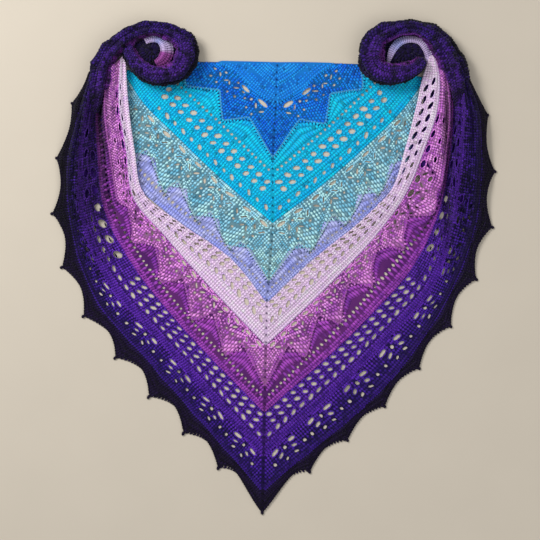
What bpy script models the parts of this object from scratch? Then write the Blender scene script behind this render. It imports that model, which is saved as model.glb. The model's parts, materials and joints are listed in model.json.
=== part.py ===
"""A crocheted triangular lace shawl, laid flat with both wings gathered and coiled.

The shawl is worked from the middle of its neck edge outwards, in V-shaped bands.
Five inner bands make the lower layer. Six outer bands lie beside them, and at
the sides they turn up over the ends of the lower layer, gathered lengthwise,
and run into two coils on the top corners.

Metres, +Z up. +X is the viewer's right and +Y points to the neck edge. The
origin is at the middle of the underside. The tables below are in millimetres.
"""
import math

import bmesh
import bpy
import numpy as np
from mathutils.geometry import delaunay_2d_cdt

MM = 0.001

# Driving sizes, in millimetres
CLOTH = 2.4
SEAM_GAP = 0.3
LAYER_GAP = 0.9
REST_ON_CLOTH = 3.2
CURVE_SAMPLES = 500
CHART_LENGTH = 800.0
EDGE_STEP = 26.0
LIFTED_STEP = 15.0
FOLD_WAVE = 0.10
FOLD_COUNT = 1.5
HOLE_CLEARANCE = 2.6
END_CLEARANCE = 8.0
MOST_GAP_SCALE = 8.0

# Hidden layers under a gathered wing: bands across at which it has points, its
# shares of the rows, and how far round a point it looks for the lowest cloth
CORE_ROWS = 11
CORE_ACROSS = (1.7, 2.0, 2.5, 3.0, 3.25, 3.5, 3.75, 4.0, 4.5, 5.0, 5.3)
CORE_SHARES = {"left": (.68, .975), "right": (.68, .975)}
CORE_REACH_ALONG = 0.012
CORE_REACH_ACROSS = 0.2

# Coils: points round and along, depth, number and twist of their layers, and
# where what they rest on drops from the lower layer to the surface
COIL_SIDES = 14
COIL_STATIONS = 28
COIL_LAYER = 0.07
COIL_FOLDS = 5
COIL_TWIST = 9.0
NECK_DROP = (318.0, 332.0)
SIDE_DROP = (238.0, 246.0)
TIP_RINGS = (1.0, .93, .8, .6, .35)
TONGUE_STATIONS = 12
TONGUE_GAP = 0.9

SIDES = {"left": -1, "right": 1}

# Edges of the lower bands, from the spine out to the wing: x, y of each station
LOWER_BANDS = ("blue_rows", "blue_fans", "turquoise_mesh", "aqua_fans", "lavender_rows")
LOWER_EDGES = {
    "left": {
        "neck": ((5, 313), (-36, 314), (-79, 315)),
        "blue_ridge": ((2, 248), (-33, 274), (-59, 298), (-86, 313)),
        "blue_teeth": ((-2, 167), (-79, 243), (-132, 290), (-157, 313)),
        "turquoise_rim": ((-2, 68), (-79, 134), (-158, 210), (-204, 254), (-229, 296)),
        "aqua_teeth": ((-8, -20), (-99, 68), (-173, 137), (-205, 176), (-228, 206)),
        "lavender_rim": ((-11, -52), (-59, 9), (-144, 70), (-198, 114), (-224, 140)),
    },
    "right": {
        "neck": ((5, 313), (47, 313), (85, 312)),
        "blue_ridge": ((2, 248), (44, 274), (70, 296), (92, 311)),
        "blue_teeth": ((-2, 167), (85, 242), (137, 290), (160, 309)),
        "turquoise_rim": ((-2, 68), (70, 123), (134, 179), (192, 236), (232, 288)),
        "aqua_teeth": ((-8, -20), (74, 50), (132, 94), (182, 144), (208, 176)),
        "lavender_rim": ((-11, -52), (52, 8), (140, 79), (178, 119), (196, 142)),
    },
}

# Sections across the outer bands, from the spine up to the coil. Each runs from
# its inner to its outer point, by way of the elbow if it has one. Shares say how
# far along it each inner band ends, heights how far each band edge is lifted.
UPPER_BANDS = ("lilac_mesh", "pink_fans", "magenta_rows", "purple_mesh", "violet_fans",
               "black_edging")
SECTION_COLUMNS = ("name", "inner", "elbow", "outer", "shares", "heights")
UPPER_SECTIONS = {
    "left": (
        ("spine", (-11, -52), None, (-18, -372), (.205, .40, .521, .735, .891),
         (0, 0, 0, 0, 0, 0, 0)),
        ("wing", (-59, 9), None, (-225, -157), (.229, .404, .532, .706, .835),
         (0, 0, 0, 0, 0, 0, 0)),
        ("knee", (-144, 70), None, (-290, -74), (.147, .316, .468, .70, .837),
         (3.4, 1, 0, 0, 0, 0, 0)),
        ("hip", (-198, 114), None, (-336, 59), (.11, .27, .43, .68, .79),
         (6, 7, 7, 3, 6, 4, 0)),
        ("side", (-211, 179), None, (-331, 167), (.10, .316, .468, .696, .823),
         (8, 12, 15, 4, 17, 11, 0)),
        ("gather", (-220, 248), None, (-313, 237), (.148, .393, .525, .689, .77),
         (9, 15, 20, 6, 22, 17, 2)),
        ("top", (-225, 325), (-254, 296), (-283, 296), (.14, .56, .63, .80, .90),
         (9, 14, 20, 16, 24, 21, 8)),
    ),
    "right": (
        ("spine", (-11, -52), None, (-18, -372), (.205, .40, .521, .735, .891),
         (0, 0, 0, 0, 0, 0, 0)),
        ("wing", (52, 8), None, (217, -158), (.197, .353, .523, .716, .895),
         (0, 0, 0, 0, 0, 0, 0)),
        ("knee", (140, 79), None, (284, -65), (.147, .284, .505, .716, .853),
         (3.4, 1, 0, 0, 0, 0, 0)),
        ("hip", (178, 119), None, (330, 49), (.13, .41, .47, .62, .82),
         (6, 8, 9, 3, 7, 5, 0)),
        ("side", (198, 179), None, (334, 176), (.211, .467, .51, .633, .844),
         (8, 13, 15, 4, 16, 12, 0)),
        ("gather", (216, 248), None, (322, 243), (.30, .471, .515, .671, .857),
         (9, 15, 20, 6, 20, 16, 2)),
        ("neck", (226, 293), None, (292, 301), (.349, .512, .59, .767, .884),
         (9, 14, 20, 10, 23, 20, 5)),
        ("top", (236, 322), None, (281, 321), (.12, .38, .48, .70, .867),
         (9, 13, 20, 16, 24, 21, 8)),
    ),
}

# Toothed and scalloped edges: distance of the first tip from the spine, the
# pitch of the next ones, how much the pitch grows, and how far tips stand out
TEETH_COLUMNS = ("first", "pitch", "growth", "depth", "share of the edge")
TEETH = {
    "blue_teeth": (97, 72, 0, 12, 1),
    "aqua_teeth": (88, 67, 0, 10, 1),
    "pink_teeth": (84, 72, 0, 13, .68),
    "picots": (95, 74, .84, 15, 1),
}

# Rows of holes in the mesh bands: band, how far across it, pitch and start
# along the row, length and width of a hole, and the share of the row they fill
MESH_COLUMNS = ("band", "across", "pitch", "start", "length", "width", "lean", "share")
MESH_ROWS = (
    ("turquoise_mesh", .45, 17.0, 10.0, 10.5, 7.0, .25, .90),
    ("turquoise_mesh", .60, 17.0, 18.5, 10.5, 7.0, .25, .90),
    ("turquoise_mesh", .84, 17.0, 12.0, 11.0, 5.6, -.25, .80),
    ("lilac_mesh", .30, 27.0, 20.0, 12.5, 5.2, .35, .56),
    ("lilac_mesh", .52, 27.0, 33.0, 12.5, 5.2, -.35, .56),
    ("purple_mesh", .14, 17.0, 10.0, 9.5, 6.2, .25, .46),
    ("purple_mesh", .36, 17.0, 18.5, 9.5, 6.2, .25, .46),
    ("purple_mesh", .60, 17.0, 12.0, 12.0, 6.4, -.2, .68),
)

# Long holes at the foot of each fan: band, teeth that it ends in, how far across,
# how far from the fan's middle, length, width and lean of a hole, share of the row
FAN_COLUMNS = ("band", "teeth", "across", "aside", "length", "width", "lean", "share")
FAN_HOLES = (
    ("blue_fans", "blue_teeth", .13, 24.0, 15.0, 5.6, .3, .86),
    ("aqua_fans", "aqua_teeth", .13, 20.0, 15.0, 5.8, .3, .86),
    ("pink_fans", "pink_teeth", .16, 20.0, 14.0, 5.4, .3, .72),
    ("violet_fans", "picots", .22, 19.0, 14.0, 6.0, .3, .72),
)

# Hole shapes: places along the row and outwards, from -1 to 1
SHORT_HOLE = ((-1, -.6), (.7, -1), (1, .6), (-.7, 1))
LONG_HOLE = ((-1, 0), (-.5, -1), (.5, -1), (1, 0), (.5, 1), (-.5, 1))

# Coiled ends: x, y, width and height of the wound wing at each station
COILS = {
    "left": (
        (-267, 302, 22, 27), (-260, 315, 20, 26), (-249, 328, 17, 25),
        (-236, 342, 18, 26), (-212, 357, 18, 27), (-180, 363, 18, 28),
        (-151, 355, 22, 29), (-134, 337, 29, 30), (-133, 316, 31, 30),
        (-145, 297, 29, 29), (-168, 292, 26, 28), (-191, 295, 24, 26),
        (-205, 306, 18, 23), (-212, 319, 12, 19), (-214, 330, 6, 14),
    ),
    "right": (
        (268, 327, 24, 27), (263, 338, 24, 27), (247, 352, 22, 27),
        (228, 361, 19, 27), (205, 364, 21, 28), (180, 359, 24, 29),
        (155, 346, 31, 30), (145, 323, 36, 30), (155, 300, 33, 29),
        (177, 292, 29, 27), (200, 297, 25, 26), (217, 307, 16, 22),
        (225, 314, 6, 16),
    ),
}

# Middles of the coils: centre and radii of the dark folded end
TIPS = {
    "left": (-178, 330, 26.5, 22.5),
    "right": (197.5, 331, 30.3, 20.2),
}
TIP_HEIGHT = 12.0
TIP_RIM = 4.0

# Pale bands that show inside the coils: x, y and width at each station
TONGUES = {
    "left_coil_tongue": ("left", ((-197, 341, 6), (-183, 348, 9), (-167, 345, 11),
                                  (-160, 333, 11), (-164, 321, 11), (-177, 314, 6))),
    "right_coil_strip": ("right", ((176, 320, 4), (178, 332, 6), (189, 343, 6),
                                   (207, 348, 6), (221, 344, 8), (225, 336, 8))),
}
TONGUE_THICKNESS = 3.0

COLOURS = {
    "blue_rows": (.013, .28, .87), "blue_fans": (.012, .16, .72),
    "turquoise_mesh": (.005, .52, .87), "aqua_fans": (.27, .64, .70),
    "lavender_rows": (.38, .40, .87), "lilac_mesh": (.75, .60, .87),
    "pink_fans": (.60, .14, .60), "magenta_rows": (.30, .045, .40),
    "purple_mesh": (.08, .017, .33), "violet_fans": (.032, .007, .22),
    "black_edging": (.007, .002, .017), "gather_core": (.05, .01, .2),
    "coil": (.05, .01, .22), "left_coil_tongue": (.6, .5, .85),
    "right_coil_strip": (.6, .5, .85), "tip": (.007, .002, .017),
}
YARN_ROUGHNESS = 0.85


def spline(points):
    """A smooth curve through the points, sampled evenly along its length."""
    points = np.array(points, float)
    knots = np.concatenate([[0.0], np.cumsum(np.linalg.norm(np.diff(points[:, :2], axis=0),
                                                            axis=1))])
    slopes = np.gradient(points, knots, axis=0)
    where = np.linspace(0, knots[-1], CURVE_SAMPLES)
    piece = np.clip(np.searchsorted(knots, where, side="right") - 1, 0, len(knots) - 2)
    span = (knots[piece + 1] - knots[piece])[:, None]
    t = (where - knots[piece])[:, None] / span
    curve = ((2 * t**3 - 3 * t**2 + 1) * points[piece] + (t**3 - 2 * t**2 + t) * span * slopes[piece]
             + (3 * t**2 - 2 * t**3) * points[piece + 1] + (t**3 - t**2) * span * slopes[piece + 1])
    run = np.concatenate([[0.0], np.cumsum(np.linalg.norm(np.diff(curve[:, :2], axis=0), axis=1))])
    even = np.linspace(0, run[-1], CURVE_SAMPLES)
    return np.stack([np.interp(even, run, curve[:, axis]) for axis in range(curve.shape[1])], 1)


def length_of(curve):
    """The length of a sampled curve, seen from above."""
    return float(np.linalg.norm(np.diff(curve[:, :2], axis=0), axis=1).sum())


def along(curve, share):
    """The point at a share of a sampled curve's length."""
    place = min(max(share, 0.0), 1.0) * (len(curve) - 1)
    low = min(int(place), len(curve) - 2)
    return curve[low] + (curve[low + 1] - curve[low]) * (place - low)


class Sheet:
    """Bands of cloth side by side, between edges that run from the spine to the wings.

    A point of the sheet is given by share, from -1 at the left end of a row over
    0 at the spine to 1 at the right end, and by depth, the distance across the
    bands in millimetres as it is at the spine.
    """

    def __init__(self, bands, edges, bends):
        self.bands = bands
        self.bends = bends
        self.curves = {side: [spline(points) for points in edges[side]] for side in SIDES}
        spine = [curve[0] for curve in self.curves["left"]]
        drops = [spine[k][1] - spine[k + 1][1] for k in range(len(bands))]
        self.depths = np.concatenate([[0.0], np.cumsum(np.array(drops) / math.sqrt(2))])
        self.lengths = {side: np.array([length_of(curve) for curve in self.curves[side]])
                        for side in SIDES}

    def row_length(self, side, depth):
        """Length of the row at this depth, on one side of the spine."""
        return float(np.interp(depth, self.depths, self.lengths[side]))

    def depth_at(self, across):
        """Depth of a place given in bands, such as 2.5 for the middle of the third."""
        return float(np.interp(across, range(len(self.depths)), self.depths))

    def place(self, share, depth):
        """The point of the sheet's underside, in millimetres."""
        side = "left" if share < 0 else "right"
        points = [along(curve, abs(share)) for curve in self.curves[side]]
        last = len(points) - 1
        across = float(np.interp(depth, self.depths, range(last + 1)))
        band = min(int(across), last - 1)
        t = across - band
        point = points[band] + (points[band + 1] - points[band]) * t
        lift = self.lift([p[2] for p in points], band, t) if len(point) == 3 else 0.0
        wave = 1 + FOLD_WAVE * math.sin(2 * math.pi * FOLD_COUNT * across)
        return float(point[0]), float(point[1]), lift * wave

    @staticmethod
    def lift(heights, band, t):
        """Height between two band edges, rounded as cloth is over folds."""
        before = heights[max(band - 1, 0)]
        after = heights[min(band + 2, len(heights) - 1)]
        low, high = heights[band], heights[band + 1]
        slope_low, slope_high = (high - before) / 2, (after - low) / 2
        height = ((2 * t**3 - 3 * t**2 + 1) * low + (t**3 - 2 * t**2 + t) * slope_low
                  + (3 * t**2 - 2 * t**3) * high + (t**3 - t**2) * slope_high)
        return max(float(height), min(low, high) * 0.8, 0.0)

    def width_here(self, share, band):
        """Width of a band at this share of its rows."""
        side = "left" if share < 0 else "right"
        inner = along(self.curves[side][band], abs(share))
        outer = along(self.curves[side][band + 1], abs(share))
        return float(np.linalg.norm((outer - inner)[:2]))

    def column(self, side, start, depth, rim):
        """Share of the row at a depth, on the column that meets the rim at start."""
        mitre = self.depths[rim] - depth
        if not self.bends:
            return (start - mitre) / self.row_length(side, depth)
        return (start - mitre) / (self.row_length(side, self.depths[rim]) - mitre)


def tips_along(name, length):
    """Distances from the spine of the tips of a toothed edge."""
    first, pitch, growth = TEETH[name][:3]
    tips = []
    while not tips or tips[-1] < length:
        k = len(tips)
        tips.append(first + pitch * k + growth * k * k)
    return tips


def tooth_offsets(name, length):
    """Distance along and offset outwards of each corner of a toothed edge."""
    depth, filled = TEETH[name][3:]
    corners = [(0.0, 0.0)]
    previous = 0.0
    for tip in tips_along(name, length):
        corners += [((previous + tip) / 2, -depth), (tip, depth)]
        previous = tip
    corners = [c for c in corners if c[0] < length * filled - END_CLEARANCE]
    while filled < 1 and corners[-1][0] < length - LIFTED_STEP:
        corners.append((corners[-1][0] + LIFTED_STEP, 0.0))
    return corners


def scallop_offsets(name, length):
    """Distance along and offset of each point of the scalloped outer edge."""
    depth = TEETH[name][3]
    points = [(0.0, 0.0)]
    previous = 0.0
    for tip in tips_along(name, length):
        span = tip - previous
        for share in (.08, .25, .5, .75, .92):
            points.append((previous + span * share, -depth * math.sin(math.pi * share) ** .6))
        points.append((tip, 0.0))
        previous = tip
    return [p for p in points if p[0] < length - END_CLEARANCE]


def even_offsets(length, lift_from):
    """Distances along a plain edge, closer together where the cloth is lifted."""
    points = [(0.0, 0.0)]
    while points[-1][0] < length - EDGE_STEP:
        step = LIFTED_STEP if points[-1][0] > lift_from else EDGE_STEP
        points.append((points[-1][0] + step, 0.0))
    return points


# Which edges are toothed or scalloped, and the edges of each layer in order
EDGE_KIND = {"blue_teeth": tooth_offsets, "aqua_teeth": tooth_offsets,
             "pink_teeth": tooth_offsets, "picots": scallop_offsets}
LOWER_NAMES = ("neck", "blue_ridge", "blue_teeth", "turquoise_rim", "aqua_teeth", "lavender_rim")
UPPER_NAMES = ("lavender_rim", "lilac_rim", "pink_teeth", "magenta_rim", "purple_rim",
               "violet_rim", "picots")
LIFT_STARTS = 190.0


def edge_points(sheet, names, edge, side):
    """Share and depth of each corner of one band edge, on one side of the spine."""
    length = sheet.lengths[side][edge]
    name = names[edge]
    if name in EDGE_KIND:
        offsets = EDGE_KIND[name](name, length)
    else:
        offsets = even_offsets(length, LIFT_STARTS if names is UPPER_NAMES else 2 * length)
    points = []
    for start, offset in offsets:
        share = max(start + offset, 0.0) / (length + offset)
        points.append((SIDES[side] * share, sheet.depths[edge] + offset))
    points.append((SIDES[side], sheet.depths[edge]))
    return points


def whole_edge(sheet, names, edge, shift):
    """Both sides of an edge from left to right, moved across by half a seam gap."""
    left = edge_points(sheet, names, edge, "left")
    right = edge_points(sheet, names, edge, "right")
    moved = []
    for share, depth in left[::-1] + right[1:]:
        band = edge if shift > 0 else edge - 1
        band = min(max(band, 0), len(sheet.bands) - 1)
        scale = (sheet.depths[band + 1] - sheet.depths[band]) / sheet.width_here(share, band)
        moved.append((share, depth + shift * min(scale, MOST_GAP_SCALE)))
    return moved


def hole_outline(sheet, side, rim, start, depth, hole):
    """Corners of one hole, as shares and depths: hole is its shape, length, width and lean."""
    shape, length, width, lean = hole
    corners = []
    for along_row, outwards in shape:
        run = along_row * length / 2
        here = depth + outwards * width / 2 + run * lean
        share = sheet.column(side, start + run + (sheet.depths[rim] - depth), here, rim)
        corners.append((SIDES[side] * share, here))
    return corners if side == "right" else corners[::-1]


def mesh_holes(sheet):
    """Holes of the mesh rows: band index and corners."""
    holes = []
    for band, across, pitch, first, length, width, lean, filled in MESH_ROWS:
        if band not in sheet.bands:
            continue
        index = sheet.bands.index(band)
        depth = float(np.interp(index + across, range(len(sheet.depths)), sheet.depths))
        for side in SIDES:
            row = sheet.row_length(side, depth)
            for k in range(int((row * filled - first) / pitch)):
                start = first + pitch * k
                hole = (SHORT_HOLE, length, width, lean)
                holes.append((index, hole_outline(sheet, side, index + 1, start, depth, hole)))
    return holes


def fan_holes(sheet):
    """Long holes at the foot of each fan: band index and corners."""
    holes = []
    for band, teeth, across, aside, length, width, lean, filled in FAN_HOLES:
        if band not in sheet.bands:
            continue
        index = sheet.bands.index(band)
        depth = float(np.interp(index + across, range(len(sheet.depths)), sheet.depths))
        rim = index + (2 if teeth == "picots" else 1)
        for side in SIDES:
            row = sheet.row_length(side, depth)
            for tip in tips_along(teeth, sheet.lengths[side][rim]):
                for hand in (-1, 1):
                    start = tip - (sheet.depths[rim] - depth) + hand * aside
                    if not 12 < start < row * filled:
                        continue
                    hole = (LONG_HOLE, length, width, lean * hand)
                    holes.append((index, hole_outline(sheet, side, index + 1, start, depth, hole)))
    return holes


def inside(point, polygon):
    """Whether a point is in a polygon."""
    x, y = point
    odd = False
    for (ax, ay), (bx, by) in zip(polygon, polygon[1:] + polygon[:1]):
        if (ay > y) != (by > y) and x < (bx - ax) * (y - ay) / (by - ay) + ax:
            odd = not odd
    return odd


def chart(share, depth):
    """Flat position used to lay out the faces of a band."""
    return share * CHART_LENGTH, depth


def near_any(point, polygons):
    """Whether a flat point is in, or close to, a hole."""
    for polygon in polygons:
        if inside(point, polygon):
            return True
        for corner in polygon:
            if math.dist(point, corner) < HOLE_CLEARANCE:
                return True
    return False


def band_mesh(sheet, names, band, holes):
    """Points and faces of one band: a wall with its holes cut through."""
    half = SEAM_GAP / 2
    inner = whole_edge(sheet, names, band, half)
    outer = whole_edge(sheet, names, band + 1, -half)
    outline = [chart(*p) for p in inner + outer[::-1]]
    cuts = [[chart(*p) for p in corners] for index, corners in holes if index == band]
    extra = []
    for share in lifted_shares(sheet, band):
        middle = (sheet.depths[band] + sheet.depths[band + 1]) / 2
        point = chart(share, middle)
        if inside(point, outline) and not near_any(point, cuts):
            extra.append(point)
    flat = list(outline)
    loops = [list(range(len(outline)))]
    for cut in cuts:
        loops.append(list(range(len(flat), len(flat) + len(cut))))
        flat += cut
    flat += extra
    points, _, faces, _, _, origins = delaunay_2d_cdt(flat, [], loops, 1, 1e-6, True)
    faces = [face for face, origin in zip(faces, origins) if list(origin) == [0]]
    return wall(sheet, [tuple(p) for p in points], faces)


def lifted_shares(sheet, band):
    """Shares of a row at which the lifted cloth needs a point in mid-band."""
    shares = []
    for side, sign in SIDES.items():
        length = sheet.lengths[side][band]
        start = LIFT_STARTS
        while len(sheet.curves[side][band][0]) == 3 and start < length - LIFTED_STEP / 2:
            shares.append(sign * start / length)
            start += LIFTED_STEP
    return shares


def wall(sheet, points, faces):
    """A closed wall: the flat layout's faces above and below, and its sides."""
    used = sorted({k for face in faces for k in face})
    number = {k: n for n, k in enumerate(used)}
    under = [sheet.place(points[k][0] / CHART_LENGTH, points[k][1]) for k in used]
    over = [(x, y, z + CLOTH) for x, y, z in under]
    count = len(used)
    top = [tuple(number[k] for k in face) for face in faces]
    shell = [tuple(k + count for k in face) for face in top]
    shell += [tuple(reversed(face)) for face in top]
    directed = {(a, b) for face in top for a, b in zip(face, face[1:] + face[:1])}
    for a, b in sorted(directed):
        if (b, a) not in directed:
            shell.append((b + count, a + count, a, b))
    return under + over, shell


def core_mesh(side):
    """The hidden folded layers under a gathered wing: one rounded solid."""
    first, last = CORE_SHARES[side]
    top, bottom = [], []
    for r in range(CORE_ROWS + 1):
        share = SIDES[side] * (first + (last - first) * r / CORE_ROWS)
        for across in CORE_ACROSS:
            x, y, _ = UPPER.place(share, UPPER.depth_at(across))
            top.append((x, y, lowest_near(share, across) - LAYER_GAP))
            bottom.append((x, y, 0.0))
    return grid_solid(bottom, top, CORE_ROWS, len(CORE_ACROSS) - 1)


def lowest_near(share, across):
    """Lowest underside of the gathered cloth round a point."""
    spots = [(share + a, across + b) for a in (-CORE_REACH_ALONG, 0, CORE_REACH_ALONG)
             for b in (-CORE_REACH_ACROSS, 0, CORE_REACH_ACROSS)]
    return min(UPPER.place(a, UPPER.depth_at(b))[2] for a, b in spots)


def grid_solid(bottom, top, rows, columns):
    """A closed solid between two grids of points."""
    wide = columns + 1
    count = (rows + 1) * wide
    faces = []
    for r in range(rows):
        for c in range(columns):
            a, b, d, e = r * wide + c, r * wide + c + 1, (r + 1) * wide + c + 1, (r + 1) * wide + c
            faces += [(a, b, d), (a, d, e), (count + a, count + d, count + b),
                      (count + a, count + e, count + d)]
    ring = [c for c in range(wide)]
    ring += [r * wide + columns for r in range(1, rows + 1)]
    ring += [rows * wide + c for c in range(columns - 1, -1, -1)]
    ring += [r * wide for r in range(rows - 1, 0, -1)]
    for a, b in zip(ring, ring[1:] + ring[:1]):
        faces.append((a, a + count, b + count, b))
    return bottom + top, faces


def ground(x, y):
    """Height of what a coil rests on: the lower layer, or the surface beyond it."""
    past_neck = (y - NECK_DROP[0]) / (NECK_DROP[1] - NECK_DROP[0])
    past_side = (abs(x) - SIDE_DROP[0]) / (SIDE_DROP[1] - SIDE_DROP[0])
    clear = min(max(past_neck, past_side, 0.0), 1.0)
    return REST_ON_CLOTH * (1 - clear * clear * (3 - 2 * clear))


def coil_mesh(side):
    """The wound end of a wing: a folded rope with lengthwise layers."""
    stations = spline(COILS[side])
    rings = []
    for k in range(COIL_STATIONS + 1):
        share = k / COIL_STATIONS
        x, y, width, height = along(stations, share)
        ahead = along(stations, min(share + .01, 1.0))[:2] - along(stations, max(share - .01, 0))[:2]
        ahead /= np.linalg.norm(ahead)
        across = np.array([-ahead[1], ahead[0]])
        floor = ground(x, y)
        ring = []
        for c in range(COIL_SIDES):
            turn = 2 * math.pi * c / COIL_SIDES
            layer = 1 + COIL_LAYER * math.cos(COIL_FOLDS * turn + COIL_TWIST * share)
            out = math.cos(turn) * width / 2 * layer
            rise = height / 2 * (1 + math.sin(turn) * layer)
            spot = np.array([x, y]) + across * out
            ring.append((float(spot[0]), float(spot[1]),
                         floor + max(float(rise), ground(*spot) - floor, 0.0)))
        rings.append(ring)
    return tube_solid(rings)


def tube_solid(rings):
    """A closed tube through rings of points, with a flat fan at each end."""
    sides = len(rings[0])
    points = [p for ring in rings for p in ring]
    faces = []
    for r in range(len(rings) - 1):
        for c in range(sides):
            a, b = r * sides + c, r * sides + (c + 1) % sides
            faces += [(a, b, b + sides), (a, b + sides, a + sides)]
    for ring, flip in ((0, True), (len(rings) - 1, False)):
        hub = len(points)
        points.append(tuple(np.mean(rings[ring], axis=0)))
        for c in range(sides):
            a, b = ring * sides + c, ring * sides + (c + 1) % sides
            faces.append((hub, b, a) if flip else (hub, a, b))
    return points, faces


def dome_height(side, x, y):
    """Height of a coil's dark middle at a point."""
    cx, cy, rx, ry = TIPS[side]
    reach = min(((x - cx) / rx) ** 2 + ((y - cy) / ry) ** 2, 1.0)
    return REST_ON_CLOTH + TIP_RIM + (TIP_HEIGHT - TIP_RIM) * (1 - reach)


def tip_mesh(side):
    """The dark folded end in the middle of a coil."""
    cx, cy, rx, ry = TIPS[side]
    rings = []
    for share in TIP_RINGS:
        ring = []
        for c in range(COIL_SIDES):
            turn = 2 * math.pi * c / COIL_SIDES
            x, y = cx + rx * share * math.cos(turn), cy + ry * share * math.sin(turn)
            ring.append((x, y, dome_height(side, x, y)))
        rings.append(ring)
    base = [(x, y, REST_ON_CLOTH) for x, y, _ in rings[0]]
    return tube_solid([base] + rings)


def tongue_mesh(name):
    """A pale band that shows inside a coil, lying over its dark middle."""
    side, stations = TONGUES[name]
    curve = spline(stations)
    rings = []
    for k in range(TONGUE_STATIONS + 1):
        share = k / TONGUE_STATIONS
        x, y, width = along(curve, share)
        ahead = along(curve, min(share + .02, 1.0))[:2] - along(curve, max(share - .02, 0))[:2]
        ahead /= np.linalg.norm(ahead)
        across = np.array([-ahead[1], ahead[0]])
        ring = []
        for out, rise in ((-.5, 0), (.5, 0), (.5, .7), (.2, 1.0), (-.2, 1.0), (-.5, .7)):
            spot = np.array([x, y]) + across * out * width
            rest = dome_height(side, *spot) + TONGUE_GAP
            ring.append((float(spot[0]), float(spot[1]), rest + rise * TONGUE_THICKNESS))
        rings.append(ring)
    return tube_solid(rings)


def make_object(name, points, faces, colour):
    """A named solid with its own yarn material."""
    mesh = bpy.data.meshes.new(name)
    mesh.from_pydata([(x * MM, y * MM, z * MM) for x, y, z in points], [], faces)
    mesh.update()
    shaped = bmesh.new()
    shaped.from_mesh(mesh)
    bmesh.ops.triangulate(shaped, faces=shaped.faces)
    bmesh.ops.recalc_face_normals(shaped, faces=shaped.faces)
    shaped.to_mesh(mesh)
    shaped.free()
    solid = bpy.data.objects.new(name, mesh)
    bpy.context.scene.collection.objects.link(solid)
    yarn = bpy.data.materials.new(name + "_yarn")
    yarn.use_nodes = True
    shader = yarn.node_tree.nodes["Principled BSDF"]
    shader.inputs["Base Color"].default_value = (*colour, 1.0)
    shader.inputs["Roughness"].default_value = YARN_ROUGHNESS
    shader.inputs["Metallic"].default_value = 0.0
    mesh.materials.append(yarn)
    return solid


def upper_edges():
    """Points of each outer band's edges, worked out from the sections."""
    edges = {}
    for side, sections in UPPER_SECTIONS.items():
        edges[side] = [[] for _ in UPPER_NAMES]
        for _, inner, elbow, outer, shares, heights in sections:
            corners = np.array([inner, elbow, outer] if elbow else [inner, outer], float)
            run = np.concatenate([[0.0], np.cumsum(np.linalg.norm(np.diff(corners, axis=0), axis=1))])
            for k, (share, height) in enumerate(zip((0.0, *shares, 1.0), heights)):
                spot = [float(np.interp(share * run[-1], run, corners[:, axis])) for axis in (0, 1)]
                edges[side][k].append((*spot, height))
    return edges


LOWER = Sheet(LOWER_BANDS, {side: list(edges.values()) for side, edges in LOWER_EDGES.items()},
              bends=False)
UPPER = Sheet(UPPER_BANDS, upper_edges(), bends=True)


def centre_all(solids):
    """Moves every solid so that the origin is at the middle of the underside."""
    spots = np.array([tuple(v.co) for solid in solids for v in solid.data.vertices])
    low, high = spots.min(0), spots.max(0)
    shift = ((low[0] + high[0]) / 2, (low[1] + high[1]) / 2, low[2])
    for solid in solids:
        for v in solid.data.vertices:
            v.co = (v.co[0] - shift[0], v.co[1] - shift[1], v.co[2] - shift[2])
        solid.data.update()


def main():
    """Builds the shawl."""
    for old in list(bpy.data.objects):
        bpy.data.objects.remove(old, do_unlink=True)
    solids = []
    for sheet, names in ((LOWER, LOWER_NAMES), (UPPER, UPPER_NAMES)):
        holes = mesh_holes(sheet) + fan_holes(sheet)
        for band, name in enumerate(sheet.bands):
            points, faces = band_mesh(sheet, names, band, holes)
            solids.append(make_object(name, points, faces, COLOURS[name]))
    for side in SIDES:
        solids.append(make_object(side + "_gather_core", *core_mesh(side), COLOURS["gather_core"]))
        solids.append(make_object(side + "_coil", *coil_mesh(side), COLOURS["coil"]))
        solids.append(make_object(side + "_tip", *tip_mesh(side), COLOURS["tip"]))
    for name in TONGUES:
        solids.append(make_object(name, *tongue_mesh(name), COLOURS[name]))
    centre_all(solids)


main()
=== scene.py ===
"""Looks of a crocheted lace shawl, laid flat with both wings gathered and coiled.

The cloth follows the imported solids: two layers of V-shaped bands, two coiled ends.
Each band is a thin shell with its holes cut through, covered by rows of stitches.
A place on a layer is a share of its row (0 at the spine, 1 at the wing's end) and a
depth across the rows. Tables are in millimetres of the flat layout, results in metres.
"""
from __future__ import annotations

import json
import logging
import math
from dataclasses import dataclass, field
from enum import Enum

import bmesh
import bpy
import numpy as np
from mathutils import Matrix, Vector
from mathutils.geometry import delaunay_2d_cdt

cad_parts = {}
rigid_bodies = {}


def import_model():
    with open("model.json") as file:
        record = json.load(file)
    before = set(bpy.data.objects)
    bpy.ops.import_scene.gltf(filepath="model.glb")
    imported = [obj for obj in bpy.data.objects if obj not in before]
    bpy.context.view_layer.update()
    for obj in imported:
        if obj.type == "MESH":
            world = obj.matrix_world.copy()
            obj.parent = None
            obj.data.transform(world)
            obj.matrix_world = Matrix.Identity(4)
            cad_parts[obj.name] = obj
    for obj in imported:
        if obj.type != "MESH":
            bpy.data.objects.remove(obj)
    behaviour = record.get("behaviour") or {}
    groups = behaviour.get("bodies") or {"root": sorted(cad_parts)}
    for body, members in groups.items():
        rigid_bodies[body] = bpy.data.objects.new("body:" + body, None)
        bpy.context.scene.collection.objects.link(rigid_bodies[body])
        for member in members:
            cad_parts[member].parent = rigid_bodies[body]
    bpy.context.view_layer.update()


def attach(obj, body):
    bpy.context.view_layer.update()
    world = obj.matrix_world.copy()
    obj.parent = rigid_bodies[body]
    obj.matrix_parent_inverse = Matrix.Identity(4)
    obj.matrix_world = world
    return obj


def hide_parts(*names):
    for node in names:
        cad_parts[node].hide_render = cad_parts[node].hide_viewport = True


LOG = logging.getLogger("shawl")
Array = np.ndarray
Colour = tuple[float, float, float]
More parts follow.
